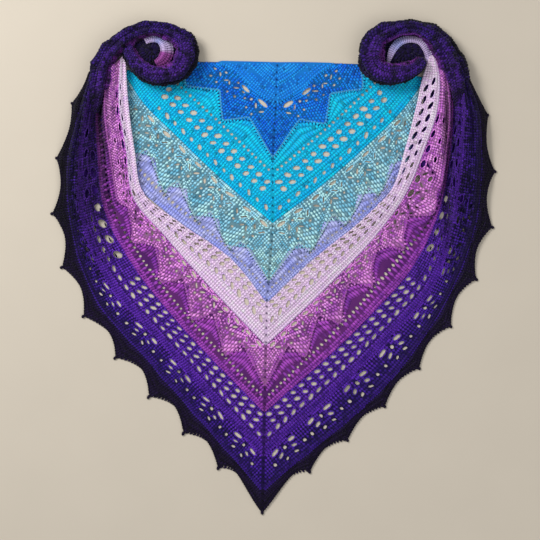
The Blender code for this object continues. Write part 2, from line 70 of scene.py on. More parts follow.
Point = tuple[float, ...]

MM = 0.001
CENTRE = (-0.692, 1.571)
CURVE_SAMPLES = 600
CHART_LENGTH = 800.0
SEED = 11
UP = np.array([0, 0, 1.0])


class Side(Enum):
    """One side of the spine, with the sign of its shares."""

    LEFT = -1
    RIGHT = 1

    @property
    def word(self) -> str:
        """The side's name as the pieces use it."""
        return self.name.lower()


class Stitch(Enum):
    """Kinds of stitch that the rows are made of."""

    POST = "post"
    LEAF = "leaf"
    LINK = "link"
    PUFF = "puff"


LOWER_BANDS = ("blue_rows", "blue_fans", "turquoise_mesh", "aqua_fans", "lavender_rows")
LOWER_EDGES = {
    Side.LEFT: (
        ((5, 313), (-36, 314), (-79, 315)),
        ((2, 248), (-33, 274), (-59, 298), (-86, 313)),
        ((-2, 167), (-79, 243), (-132, 290), (-157, 313)),
        ((-2, 68), (-79, 134), (-157, 209), (-198, 250), (-230, 299)),
        ((-8, -20), (-99, 68), (-173, 137), (-205, 176), (-228, 206)),
        ((-11, -52), (-59, 9), (-144, 70), (-198, 114), (-224, 140)),
    ),
    Side.RIGHT: (
        ((5, 313), (47, 313), (85, 312)),
        ((2, 248), (44, 274), (70, 296), (92, 311)),
        ((-2, 167), (85, 242), (137, 290), (160, 309)),
        ((-2, 68), (70, 123), (134, 179), (192, 236), (232, 288)),
        ((-8, -20), (74, 50), (132, 94), (182, 144), (208, 176)),
        ((-11, -52), (52, 8), (140, 79), (178, 119), (196, 142)),
    ),
}

UPPER_BANDS = ("lilac_mesh", "pink_fans", "magenta_rows", "purple_mesh", "violet_fans",
               "black_edging")
# Sections of the outer bands: inner point, elbow, outer point, share of the section at
# which each band ends, and how far each band edge is lifted
SPINE_SECTION = ((-11, -52), None, (-18, -372), (.205, .40, .521, .735, .891), (0, 0, 0, 0, 0, 0, 0))
UPPER_SECTIONS = {
    Side.LEFT: (
        SPINE_SECTION,
        ((-59, 9), None, (-225, -157), (.229, .404, .532, .706, .835), (0, 0, 0, 0, 0, 0, 0)),
        ((-144, 70), None, (-290, -74), (.147, .316, .468, .70, .837), (3.4, 1, 0, 0, 0, 0, 0)),
        ((-198, 114), None, (-336, 59), (.11, .27, .43, .68, .79), (6, 7, 7, 3, 6, 4, 0)),
        ((-211, 179), None, (-331, 167), (.10, .316, .468, .696, .823),
         (11, 12, 15, 4, 17, 11, 0)),
        ((-220, 248), None, (-313, 237), (.148, .393, .525, .689, .77),
         (14, 15, 20, 6, 22, 17, 2)),
        ((-225, 325), (-254, 296), (-283, 296), (.14, .56, .63, .80, .90),
         (13, 14, 20, 16, 24, 21, 8)),
    ),
    Side.RIGHT: (
        SPINE_SECTION,
        ((52, 8), None, (217, -158), (.197, .353, .523, .716, .895), (0, 0, 0, 0, 0, 0, 0)),
        ((140, 79), None, (284, -65), (.147, .284, .505, .716, .853), (3.4, 1, 0, 0, 0, 0, 0)),
        ((178, 119), None, (330, 49), (.13, .41, .47, .62, .82), (6, 8, 9, 3, 7, 5, 0)),
        ((198, 179), None, (334, 176), (.211, .467, .51, .633, .844),
         (8, 13, 15, 4, 16, 12, 0)),
        ((216, 248), None, (322, 243), (.30, .471, .515, .671, .857),
         (9, 15, 20, 6, 20, 16, 2)),
        ((226, 293), None, (292, 301), (.349, .512, .59, .767, .884),
         (9, 14, 20, 10, 23, 20, 5)),
        ((236, 322), None, (281, 321), (.12, .38, .48, .70, .867),
         (9, 13, 20, 16, 24, 21, 8)),
    ),
}

# Toothed edges, by layer and edge number: first tip, pitch, growth of the pitch, how far
# the tips stand out, and the share of the edge that has them
LOWER_TEETH = {2: (97, 72, 0, 12, 1), 4: (88, 67, 0, 10, 1)}
UPPER_TEETH = {2: (84, 72, 0, 13, .68), 6: (95, 74, .84, 13, 1)}
PICOT_EDGE = 6
FIRST_VALLEY = .64
VALLEY = 1.6

# Coils: x, y, width and height of the wound wing at each station
COILS = {
    Side.LEFT: (
        (-272, 234, 10, 13), (-269, 262, 25, 28), (-266, 282, 33, 31), (-260, 304, 33, 31),
        (-250, 325, 28, 30), (-235, 341, 28, 29), (-212, 355, 25, 29), (-180, 362, 21, 30),
        (-151, 354, 25, 31), (-134, 337, 31, 32), (-133, 316, 33, 32), (-145, 297, 31, 31),
        (-168, 292, 28, 30), (-191, 295, 26, 28), (-206, 305, 24, 26), (-216, 320, 22, 25),
        (-221, 334, 18, 22), (-222, 347, 10, 17),
    ),
    Side.RIGHT: (
        (279, 240, 10, 13), (278, 268, 25, 28), (274, 290, 36, 31), (268, 311, 38, 31),
        (257, 331, 37, 30), (243, 347, 32, 29), (227, 359, 25, 29), (205, 364, 22, 30),
        (180, 358, 26, 31), (155, 346, 33, 32), (145, 323, 38, 32), (155, 300, 35, 31),
        (177, 292, 31, 30), (200, 296, 27, 28), (217, 306, 21, 25), (228, 318, 14, 20),
    ),
}
# Middles of the coils: centre and radii; and the pale bands over them: x, y, width
TIPS = {Side.LEFT: (-184, 330, 39, 26), Side.RIGHT: (199, 331, 38, 24)}
TONGUES = {
    Side.LEFT: ((-195, 343, 8), (-184, 348, 12), (-172, 347, 15), (-164, 338, 18),
                (-162, 326, 19), (-168, 315, 17), (-179, 309, 9)),
    Side.RIGHT: ((173, 310, 3), (176, 322, 8), (182, 334, 11), (192, 343, 11), (208, 346, 9),
                 (221, 343, 10), (231, 333, 13), (237, 321, 16), (238, 307, 17)),
}
TONGUE_NODES = {Side.LEFT: "left_coil_tongue", Side.RIGHT: "right_coil_strip"}
REST_ON_CLOTH = 3.2
TIP_RIM, TIP_HEIGHT, TONGUE_GAP = 4.0, 12.0, 0.9
NECK_DROP, SIDE_DROP = (318.0, 332.0), (238.0, 246.0)


def spline(points: tuple[Point, ...] | Array, samples: int = CURVE_SAMPLES) -> Array:
    """A smooth curve through points, sampled evenly along its length.

    Args:
        points: the points it goes through, x and y first.
        samples: how many samples it has.

    Returns:
        One row for each sample, with as many numbers as the points have.
    """
    points = np.array(points, float)
    steps = np.linalg.norm(np.diff(points[:, :2], axis=0), axis=1)
    knots = np.concatenate([[0.0], np.cumsum(steps)])
    slopes = np.gradient(points, knots, axis=0)
    where = np.linspace(0, knots[-1], samples)
    piece = np.clip(np.searchsorted(knots, where, side="right") - 1, 0, len(knots) - 2)
    span = (knots[piece + 1] - knots[piece])[:, None]
    t = (where - knots[piece])[:, None] / span
    low, high = points[piece], points[piece + 1]
    curve = ((2 * t**3 - 3 * t**2 + 1) * low + (t**3 - 2 * t**2 + t) * span * slopes[piece]
             + (3 * t**2 - 2 * t**3) * high + (t**3 - t**2) * span * slopes[piece + 1])
    run = np.concatenate([[0.0], np.cumsum(np.linalg.norm(np.diff(curve[:, :2], axis=0), axis=1))])
    even = np.linspace(0, run[-1], samples)
    return np.stack([np.interp(even, run, curve[:, axis]) for axis in range(curve.shape[1])], 1)


def at_share(curve: Array, share: Array) -> Array:
    """Points at shares of an evenly sampled curve."""
    where = np.clip(share, 0.0, 1.0) * (len(curve) - 1)
    low = np.minimum(where.astype(int), len(curve) - 2)
    return curve[low] + (curve[low + 1] - curve[low]) * (where - low)[:, None]


def heading(curve: Array, share: Array, step: float) -> Array:
    """Flat unit directions of a curve at shares of it, measured over a step to each side."""
    ahead = (at_share(curve, np.minimum(share + step, 1))
             - at_share(curve, np.maximum(share - step, 0)))[:, :2]
    return ahead / np.linalg.norm(ahead, axis=1)[:, None]


def grain(x: Array, y: Array, size: float, turn: float = 0.0) -> Array:
    """A smooth, uneven pattern between -1 and 1 that repeats nowhere on the cloth."""
    a, b = x / size, y / size
    return (np.sin(2.1 * a + 1.3 * np.sin(1.7 * b + turn) + turn)
            * np.cos(1.9 * b + 1.1 * np.sin(2.3 * a - turn) + 2 * turn))


def smooth(value: Array, low: float, high: float) -> Array:
    """A soft step from 0 at low to 1 at high."""
    t = np.clip((value - low) / (high - low), 0.0, 1.0)
    return t * t * (3 - 2 * t)


@dataclass(frozen=True)
class Crease:
    """A soft ridge or trough in the cloth: x, y of its ends, in mm."""

    start: Point
    end: Point
    bow: float
    width: float
    height: float

    def relief(self, x: Array, y: Array) -> Array:
        """Height that the crease adds at each place.

        Args:
            x: places on the layout, to the right, in mm.
            y: places on the layout, towards the neck edge, in mm.

        Returns:
            Heights in mm, negative in a trough.
        """
        run = np.array(self.end, float) - np.array(self.start, float)
        length = float(np.hypot(*run))
        run = run / length
        t = ((x - self.start[0]) * run[0] + (y - self.start[1]) * run[1]) / length
        aside = (x - self.start[0]) * -run[1] + (y - self.start[1]) * run[0]
        inside = np.clip(t, 0.0, 1.0)
        aside = aside - self.bow * np.sin(math.pi * inside)
        beyond = (t - inside) * length
        fade = np.sin(math.pi * np.clip(inside * .94 + .03, 0, 1)) ** .6
        return self.height * fade * np.exp(-(aside**2 + beyond**2) / self.width**2)


@dataclass
class ClothLayer:
    """Bands of cloth side by side, between edges that run from the spine to the wings."""

    bands: tuple[str, ...]
    edges: dict[Side, tuple[tuple[Point, ...], ...]]
    teeth: dict[int, Point]
    bends: bool
    creases: tuple[Crease, ...] = ()
    fold_wave: float = 0.10
    fold_count: float = 1.5
    curves: dict[Side, Array] = field(init=False)
    depths: Array = field(init=False)
    lengths: dict[Side, Array] = field(init=False)

    def __post_init__(self) -> None:
        """Works out the curves, the depths of the edges and their lengths."""
        self.curves = {side: np.array([spline(points) for points in edges])
                       for side, edges in self.edges.items()}
        spine = self.curves[Side.LEFT][:, 0, 1]
        self.depths = np.concatenate([[0.0], np.cumsum(-np.diff(spine) / math.sqrt(2))])
        self.lengths = {side: np.linalg.norm(np.diff(curves[:, :, :2], axis=1), axis=2).sum(1)
                        for side, curves in self.curves.items()}

    def row_length(self, side: Side, depth: Array) -> Array:
        """Length of the rows at these depths, on one side."""
        return np.interp(depth, self.depths, self.lengths[side])

    def share_of(self, side: Side, along: Array, depth: Array, rim: int) -> Array:
        """Shares of the row for places given by their distance along a band's outer edge.

        Args:
            side: the side of the spine.
            along: distances along the edge, in mm.
            depth: depths of the places, in mm.
            rim: number of the edge.

        Returns:
            Unsigned shares; below 0 is past the spine, above 1 past the end of the wing.
        """
        mitre = self.depths[rim] - depth
        if self.bends:
            return (along - mitre) / (self.row_length(side, self.depths[rim]) - mitre)
        return (along - mitre) / self.row_length(side, depth)

    def place(self, side: Side, share: Array, depth: Array, raised: Array | float = 0.0) -> Array:
        """Points over the layer's underside, in metres of the shared frame.

        Args:
            side: the side of the spine.
            share: unsigned shares of the row.
            depth: depths across the rows, in mm.
            raised: how far above the underside, in mm.

        Returns:
            One row of x, y, z for each place.
        """
        share, depth = np.atleast_1d(np.asarray(share, float)), np.atleast_1d(np.asarray(depth, float))
        share, depth = np.broadcast_arrays(share, depth)
        last = len(self.depths) - 1
        where = np.clip(share, 0, 1) * (CURVE_SAMPLES - 1)
        low = np.minimum(where.astype(int), CURVE_SAMPLES - 2)
        curves = self.curves[side]
        points = curves[:, low] + (curves[:, low + 1] - curves[:, low]) * (where - low)[None, :, None]
        across = np.interp(depth, self.depths, np.arange(last + 1))
        across = across + np.maximum(depth - self.depths[-1], 0) / (self.depths[-1] - self.depths[-2])
        across = across + np.minimum(depth, 0) / (self.depths[1] - self.depths[0])
        band = np.clip(across.astype(int), 0, last - 1)
        t = across - band
        pick = np.arange(len(depth))
        inner, outer = points[band, pick], points[band + 1, pick]
        spot = inner[:, :2] + (outer[:, :2] - inner[:, :2]) * t[:, None]
        lift = np.zeros(len(depth))
        if points.shape[2] == 3:
            lift = self.lift(points[:, :, 2], band, np.clip(t, 0, 1))
            lift *= 1 + self.fold_wave * np.sin(2 * math.pi * self.fold_count * across)
        relief = sum((crease.relief(spot[:, 0], spot[:, 1]) for crease in self.creases),
                     np.zeros(len(depth)))
        lift = np.maximum(lift + relief, 0.0)
        return np.stack([spot[:, 0] - CENTRE[0], spot[:, 1] - CENTRE[1], lift + raised], 1) * MM

    def light(self, points: Array) -> Array:
        """How light the cloth is painted at points in metres: painted shade in troughs and over the
        gathered wings, painted highlight on ridges.
        """
        x, y = points[:, 0] / MM + CENTRE[0], points[:, 1] / MM + CENTRE[1]
        relief = sum((crease.relief(x, y) for crease in self.creases), np.zeros(len(points)))
        wing_painted_shade = 1 - self.gathered(points) * np.where(x < 0, .64, .48)[:, None]
        return np.clip(1 + relief * np.where(relief > 0, .05, .075), .3, 1.2)[:, None] * wing_painted_shade

    def gathered(self, points: Array) -> Array:
        """How far points in metres are into the gathered wings, from 0 to 1."""
        x, y = points[:, 0] / MM + CENTRE[0], points[:, 1] / MM + CENTRE[1]
        share = smooth(y, -60, 120) * np.where(x < 0, smooth(-x, 228, 262), smooth(x, 248, 270))
        return (share if self.bends else share * 0)[:, None]

    @staticmethod
    def lift(heights: Array, band: Array, t: Array) -> Array:
        """Heights between two band edges, rounded as cloth is over folds."""
        pick = np.arange(len(band))
        last = len(heights) - 1
        before = heights[np.maximum(band - 1, 0), pick]
        after = heights[np.minimum(band + 2, last), pick]
        low, high = heights[band, pick], heights[band + 1, pick]
        slope_low, slope_high = (high - before) / 2, (after - low) / 2
        height = ((2 * t**3 - 3 * t**2 + 1) * low + (t**3 - 2 * t**2 + t) * slope_low
                  + (3 * t**2 - 2 * t**3) * high + (t**3 - t**2) * slope_high)
        return np.maximum(height, np.maximum(np.minimum(low, high) * 0.8, 0.0))

    def tips(self, side: Side, edge: int) -> Array:
        """Distances from the spine of the tips of a toothed edge."""
        first, pitch, growth = self.teeth[edge][:3]
        found = [first]
        while found[-1] < self.lengths[side][edge]:
            k = len(found)
            found.append(first + pitch * k + growth * k * k)
        return np.array(found)

    def offset(self, side: Side, edge: int, along: Array) -> Array:
        """How far outwards a toothed edge stands, at distances along it, in mm.

        Args:
            side: the side of the spine.
            edge: number of the edge.
            along: distances from the spine, in mm.

        Returns:
            Offsets in mm: zero on a plain edge.
        """
        if edge not in self.teeth:
            return np.zeros_like(along)
        depth, filled = self.teeth[edge][3:]
        tips = np.concatenate([[0.0], self.tips(side, edge)])
        cell = np.clip(np.searchsorted(tips, along, side="right") - 1, 0, len(tips) - 2)
        t = (along - tips[cell]) / (tips[cell + 1] - tips[cell])
        if self.bends and edge == PICOT_EDGE:
            t = np.clip(np.where(cell == 0, np.clip(t, 0, 1) ** 1.8, t), 0, 1)
            wave = -depth * np.sin(math.pi * t) ** .78
        else:
            wave = depth * (np.abs(2 * t - 1) * (1 + VALLEY) - VALLEY)
            first = np.interp(t, (0, FIRST_VALLEY, 1), (0, -VALLEY * depth, depth))
            wave = np.where(cell == 0, first, wave)
        limit = self.lengths[side][edge] * filled
        return wave * (1 - smooth(along, limit - 40, limit)) if filled < 1 else wave


UPPER_CREASES = (
    Crease((-262, 168), (-259, 306), 2, 5.5, -10),
    Crease((-304, 140), (-292, 250), -3, 4.5, -6),
    Crease((-282, 60), (-262, 176), -4, 5.0, -5),
    Crease((264, 20), (262, 318), 2, 5.5, -9),
    Crease((278, 30), (277, 306), 2, 5.5, 4.0),
    Crease((310, 110), (300, 262), 2, 4.5, -6),
    Crease((-297, 20), (-262, 200), -9, 6.5, 3.2),
    Crease((-272, 60), (-244, 215), -5, 5.0, 3.0),
    Crease((-318, 90), (-296, 262), -4, 6.0, 3.4),
    Crease((-330, 120), (-309, 215), 3, 5.0, 2.2),
    Crease((-240, 150), (-228, 285), 2, 4.0, 2.4),
    Crease((-256, -10), (-236, 96), -6, 7.5, 2.6),
    Crease((-206, -38), (-232, 70), 8, 9.0, 1.8),
    Crease((-288, 226), (-268, 300), 3, 5.0, 2.8),
    Crease((296, 10), (262, 190), 8, 6.5, 3.0),
    Crease((318, 60), (300, 240), 4, 6.0, 3.4),
    Crease((272, 92), (250, 236), 4, 5.0, 2.8),
    Crease((236, 120), (238, 290), -4, 4.5, 2.4),
    Crease((240, -22), (232, 92), 8, 8.0, 2.2),
    Crease((322, 130), (298, 262), -3, 5.0, 2.4),
    Crease((286, 196), (262, 300), 3, 5.0, 2.6),
    Crease((-150, -150), (-112, -196), 4, 12.0, 1.6),
    Crease((96, -190), (142, -160), -3, 13.0, 1.4),
    Crease((-30, -300), (-4, -352), 3, 11.0, 1.8),
)
LOWER_CREASES = (
    Crease((-36, 292), (-116, 226), 8, 12.0, 1.3),
    Crease((-92, 300), (-176, 232), -9, 11.0, 1.6),
    Crease((42, 286), (120, 214), -7, 12.0, 1.3),
    Crease((112, 290), (196, 206), 8, 10.0, 1.7),
    Crease((-64, 96), (-20, 52), 5, 14.0, 1.2),
    Crease((30, 60), (96, 128), 6, 13.0, 1.2),
    Crease((-196, 224), (-150, 160), 4, 10.0, 1.4),
    Crease((206, 262), (212, 176), -5, 8.0, 2.2),
    Crease((-206, 268), (-222, 196), 3, 8.0, 1.8),
)


def upper_edges() -> dict[Side, tuple[tuple[Point, ...], ...]]:
    """Points of each outer band's edges, worked out from the sections."""
    edges: dict[Side, tuple[tuple[Point, ...], ...]] = {}
    for side, sections in UPPER_SECTIONS.items():
        lines: list[list[Point]] = [[] for _ in range(len(UPPER_BANDS) + 1)]
        for inner, elbow, outer, shares, heights in sections:
            corners = np.array([inner, elbow, outer] if elbow else [inner, outer], float)
            steps = np.linalg.norm(np.diff(corners, axis=0), axis=1)
            run = np.concatenate([[0.0], np.cumsum(steps)])
            for line, share, height in zip(lines, (0.0, *shares, 1.0), heights):
                spot = [float(np.interp(share * run[-1], run, corners[:, axis])) for axis in (0, 1)]
                line.append((*spot, height))
        edges[side] = tuple(tuple(line) for line in lines)
    return edges


@dataclass(frozen=True)
class Hole:
    """A hole in a band: its middle on the band's outer edge and its depth, in mm."""

    along: float
    depth: float
    length: float
    width: float
    lean: float
    round_over: float = 2.4

    def outline(self, corners: int) -> tuple[Array, Array]:
        """Distances along and depths of the corners of its rounded outline."""
        turn = np.linspace(0, 2 * math.pi, corners, endpoint=False) + math.pi / corners
        power = 2 / self.round_over
        run = np.sign(np.cos(turn)) * np.abs(np.cos(turn)) ** power * self.length / 2
        out = np.sign(np.sin(turn)) * np.abs(np.sin(turn)) ** power * self.width / 2
        return self.along + run, self.depth + out + run * self.lean

    def covers(self, along: Array, depth: Array, margin: float) -> Array:
        """Whether places are in the hole or within a margin of it, in mm."""
        run = along - self.along
        out = depth - self.depth - run * self.lean
        return (np.abs(run / (self.length / 2 + margin)) ** self.round_over
                + np.abs(out / (self.width / 2 + margin)) ** self.round_over) < 1


@dataclass(frozen=True)
class HoleRow:
    """A row of like holes: how far across the band, pitch, start and share of the row."""

    across: float
    pitch: float
    start: float
    length: float
    width: float
    lean: float
    until: float
    since: float = 0.0
    slender_every: int = 0
    only: Side | None = None


@dataclass(frozen=True)
class FanHole:
    """A hole on both sides of each fan: how far across, and how far from its middle."""

    across: float
    aside: float
    length: float
    width: float
    lean: float
    until: float


@dataclass(frozen=True)
class StitchRow:
    """A row of stitches between two places across a band, from 0 to 1."""

    start: float
    end: float
    pitch: float = 4.1
    kind: Stitch = Stitch.POST
    top: bool = False
    thick: float = 1.9


@dataclass(frozen=True)
class BandLook:
    """How one band is worked and coloured."""

    name: str
    slot: str
    yarn: Colour
    second: Colour
    speckle: float
    speckle_size: float
    rows: tuple[StitchRow, ...]
    hole_rows: tuple[HoleRow, ...] = ()
    fan_holes: tuple[FanHole, ...] = ()
    teeth_edge: int | None = None
    gather: float = 0.0
    edge_yarn: Colour | None = None
    settle: float = .36
    cut_holes: bool = True
    # shade: how dark the cloth between the stitches is painted, as painted shade; it also sets how many
    # stitches are darkened at random, how wide they are and the tone of the hole rims
    shade: float = .60
    # slits: places across the band of the dark puffs painted as shade in the gathered wing's slits
    slits: tuple[float, ...] = ()


class BandChart:
    """Places on one side of one band, by distance along its outer edge and by row."""

    def __init__(self, layer: ClothLayer, index: int, side: Side, look: BandLook) -> None:
        """Keeps the band's layer, number and side."""
        self.layer, self.index, self.side, self.look = layer, index, side, look
        self.rim = index + 1
        self.inner, self.outer = layer.depths[index], layer.depths[index + 1]
        self.middles = np.array([])
        if look.teeth_edge is not None:
            tips = layer.tips(side, look.teeth_edge)
            self.middles = tips - (layer.depths[look.teeth_edge] - self.outer)

    def straight(self, across: Array) -> Array:
        """Depth of a place across the band, with no teeth."""
        return self.inner + (self.outer - self.inner) * across

    def find(self, along: Array, across: Array) -> tuple[Array, Array]:
        """Shares and depths, with the rows drawn out to the toothed edges.

        Args:
            along: distances along the band's outer edge, in mm.
            across: places across the band, from 0 at its inner edge to 1.

        Returns:
            Unsigned shares of the row, and depths in mm.
        """
        layer = self.layer
        across = np.broadcast_to(np.asarray(across, float), np.shape(along))
        straight = self.straight(across)
        share = layer.share_of(self.side, along, straight, self.rim)
        lengths = layer.lengths[self.side]
        inner = layer.offset(self.side, self.index, share * lengths[self.index])
        outer = layer.offset(self.side, self.rim, share * lengths[self.rim])
        settled = np.clip(across / self.look.settle, 0, 1)
        depth = straight + inner * (1 - settled) + outer * np.clip(across, 0, 1) ** 1.2
        return layer.share_of(self.side, along, depth, self.rim), depth

    def fanned(self, along: Array, across: Array) -> Array:
        """Distances along, drawn in towards the foot of each fan."""
        if not len(self.middles):
            return along
        nearest = np.abs(along[:, None] - self.middles[None, :]).argmin(1)
        half = np.gradient(self.middles)[nearest] / 2
        aside = np.clip((along - self.middles[nearest]) / half, -1, 1)
        strength = self.look.gather * np.clip(1 - np.asarray(across), 0, 1) ** 1.4
        return along - strength * half * np.sin(math.pi * aside)

    def holes(self) -> list[Hole]:
        """Every hole of this side of the band."""
        found = []
        random = np.random.default_rng(SEED + 7 * self.index + self.side.value)
        for row in self.look.hole_rows:
            if row.only not in (None, self.side):
                continue
            depth = float(self.straight(row.across))
            length = float(self.layer.row_length(self.side, depth))
            count = int((length * row.until - row.start) / row.pitch)
            for k in range(count):
                start = row.start + row.pitch * k
                if start < length * row.since:
                    continue
                slender = row.slender_every and k % row.slender_every
                long, wide = random.uniform(.84, 1.10), random.uniform(.80, 1.10)
                found.append(Hole(start + self.outer - depth + random.normal(0, .4), depth,
                                  row.length * long * (.62 if slender else 1),
                                  row.width * wide * (.8 if slender else 1),
                                  row.lean + random.normal(0, .1), 2.0))
        for hole in self.look.fan_holes:
            depth = float(self.straight(hole.across))
            length = float(self.layer.row_length(self.side, depth))
            for middle in self.middles:
                for hand in ((-1, 1) if hole.aside else (1,)):
                    along = middle + hand * hole.aside
                    start = along - (self.outer - depth)
                    long, wide = random.uniform(.8, 1.12), random.uniform(.8, 1.1)
                    if 9 < start < length * hole.until:
                        found.append(Hole(along, depth, hole.length * long, hole.width * wide,
                                          hole.lean * hand + random.normal(0, .06)))
        return found

    def edge_line(self, edge: int, gap: float) -> tuple[Array, Array]:
        """Shares and depths along one of the band's edges, from the spine out."""
        length = float(self.layer.lengths[self.side][edge])
        along = np.linspace(0, length, max(int(length / 4.5), 12))
        offset = self.layer.offset(self.side, edge, along)
        offset[0] = 0.0 if edge not in self.layer.teeth else offset[0]
        share = np.clip(along / length, 0, 1)
        return share, self.layer.depths[edge] + offset + gap


def inside_loop(points: Array, loop: Array) -> Array:
    """Whether each flat point is inside a closed loop of points."""
    x, y = points[:, 0][:, None], points[:, 1][:, None]
    ax, ay = loop[:, 0][None, :], loop[:, 1][None, :]
    bx, by = np.roll(loop[:, 0], -1)[None, :], np.roll(loop[:, 1], -1)[None, :]
    crosses = (ay > y) != (by > y)
    slope = np.where(by == ay, 1e-9, by - ay)
    return (crosses & (x < (bx - ax) * (y - ay) / slope + ax)).sum(1) % 2 == 1


class BandShell:
    """The thin cloth of one band, with its holes cut through."""

    thickness = 0.8
    raised = 0.35
    gap = 0.15
    grid = 9.0
    corners = 8

    def __init__(self, layer: ClothLayer, index: int, look: BandLook) -> None:
        """Keeps the layer and the band's number and look."""
        self.layer, self.index, self.look = layer, index, look
        self.charts = {side: BandChart(layer, index, side, look) for side in Side}

    def flat(self, side: Side, share: Array, depth: Array) -> Array:
        """Places on the flat layout that the faces are made on."""
        return np.stack([side.value * share * CHART_LENGTH, depth], 1)

    def outline(self) -> Array:
        """The band's outline on the flat layout, once round."""
        lines = []
        for edge, gap in ((self.index, self.gap), (self.index + 1, -self.gap)):
            left = self.flat(Side.LEFT, *self.charts[Side.LEFT].edge_line(edge, gap))
            right = self.flat(Side.RIGHT, *self.charts[Side.RIGHT].edge_line(edge, gap))
            lines.append(np.concatenate([left[::-1], right[1:]]))
        return np.concatenate([lines[0], lines[1][::-1]])

    def cuts(self) -> list[Array]:
        """Outlines of the holes on the flat layout."""
        loops = []
        for side, chart in self.charts.items() if self.look.cut_holes else ():
            for hole in chart.holes():
                along, depth = hole.outline(self.corners)
                share = self.layer.share_of(side, along, depth, chart.rim)
                if share.min() < .004 or share.max() > .99:
                    continue
                loop = self.flat(side, share, depth)
                loops.append(loop if side is Side.RIGHT else loop[::-1])
        return loops

    def mesh(self) -> tuple[Array, list[tuple[int, ...]]]:
        """Points and faces of the closed thin wall.

        Returns:
            Points in metres of the shared frame, and faces that point outwards.
        """
        outline, cuts = self.outline(), self.cuts()
        low, high = outline.min(0), outline.max(0)
        xs = np.arange(low[0] + 4, high[0] - 4, self.grid * 1.25)
        ys = np.arange(low[1] + 4, high[1] - 3, self.grid)
        spots = np.stack(np.meshgrid(xs, ys), -1).reshape(-1, 2)
        spots = spots[inside_loop(spots, outline)]
        hard = np.concatenate([outline, *cuts]) if cuts else outline
        near = np.sqrt(((spots[:, None] - hard[None]) ** 2).sum(2)).min(1)
        spots = spots[near > 3.2]
        for cut in cuts:
            spots = spots[~inside_loop(spots, cut)]
        loops, flat = [list(range(len(outline)))], [tuple(p) for p in outline]
        for cut in cuts:
            loops.append(list(range(len(flat), len(flat) + len(cut))))
            flat += [tuple(p) for p in cut]
        flat += [tuple(p) for p in spots]
        flat = [Vector(p) for p in flat]
        points, _, faces, _, _, origins = delaunay_2d_cdt(flat, [], loops, 1, 1e-6, True)
        faces = [tuple(f) for f, origin in zip(faces, origins) if list(origin) == [0]]
        return self.wall(np.array([tuple(p) for p in points]), faces)

    def wall(self, flat: Array, faces: list[tuple[int, ...]]) -> tuple[Array, list[tuple[int, ...]]]:
        """Gives the flat faces their place and thickness, and closes the sides."""
        used = sorted({k for face in faces for k in face})
        number = {k: n for n, k in enumerate(used)}
        flat = flat[used]
        under = np.zeros((len(used), 3))
        for side in Side:
            mine = (flat[:, 0] < 0) if side is Side.LEFT else (flat[:, 0] >= 0)
            if mine.any():
                share = np.abs(flat[mine, 0]) / CHART_LENGTH
                under[mine] = self.layer.place(side, share, flat[mine, 1], self.raised)
        over = under + np.array([0, 0, self.thickness * MM])
        top = [tuple(number[k] for k in face) for face in faces]
        first = [under[k] for k in top[0][:3]]
        if np.cross(first[1] - first[0], first[2] - first[0])[2] < 0:
            top = [tuple(reversed(face)) for face in top]
        count = len(used)
        shell = [tuple(k + count for k in face) for face in top]
        shell += [tuple(reversed(face)) for face in top]
        directed = {(a, b) for face in top for a, b in zip(face, face[1:] + face[:1])}
        shell += [(a, b, b + count, a + count) for a, b in sorted(directed) if (b, a) not in directed]
        return np.concatenate([under, over]), shell


def bar(rings: list[tuple[Point, float, float]],
        sides: int) -> tuple[list[Point], list[tuple[int, ...]]]:
    """A closed bar through rings across its length.

    Args:
        rings: the middle of each ring, and its half width and half height.
        sides: points in a ring.

    Returns:
        Points and faces.
    """
    points: list[Point] = []
    faces: list[tuple[int, ...]] = []
    for (x, y, z), wide, high in rings:
        for c in range(sides):
            turn = 2 * math.pi * (c + .5) / sides
            points.append((x + wide * math.cos(turn), y, z + high * math.sin(turn)))
    for r in range(len(rings) - 1):
        for c in range(sides):
            a, b = r * sides + c, r * sides + (c + 1) % sides
            faces.append((a, a + sides, b + sides, b))
    faces.append(tuple(range(sides)))
    last = (len(rings) - 1) * sides
    faces.append(tuple(last + c for c in range(sides - 1, -1, -1)))
    return points, faces


def mixed(first: Colour | Array, second: Colour | Array, share: Array) -> Array:
    """Turns the first colour into the second one, by shares from 0 to 1."""
    return np.asarray(first) * (1 - share) + np.asarray(second) * share


def placed(data: bpy.types.ID) -> bpy.types.Object:
    """An object in the scene for a mesh, lamp or camera, under the same name."""
    holder = bpy.data.objects.new(data.name, data)
    bpy.context.scene.collection.objects.link(holder)
    return holder


def turn_outwards(mesh: bpy.types.Mesh) -> None:
    """Turns a mesh's faces outwards and shades them smoothly."""
    shaped = bmesh.new()
    shaped.from_mesh(mesh)
    bmesh.ops.recalc_face_normals(shaped, faces=shaped.faces)
    shaped.to_mesh(mesh)
    shaped.free()
    mesh.polygons.foreach_set("use_smooth", [True] * len(mesh.polygons))


def add_node(nodes: bpy.types.Nodes, kind: str, inputs: dict[str | int, float] | None = None,
             **settings: str) -> bpy.types.Node:
    """A new node of a kind, with the values of its inputs and its settings."""
    node = nodes.new(kind)
    for name, value in settings.items():
        setattr(node, name, value)
    for socket, value in (inputs or {}).items():
        node.inputs[socket].default_value = value
    return node


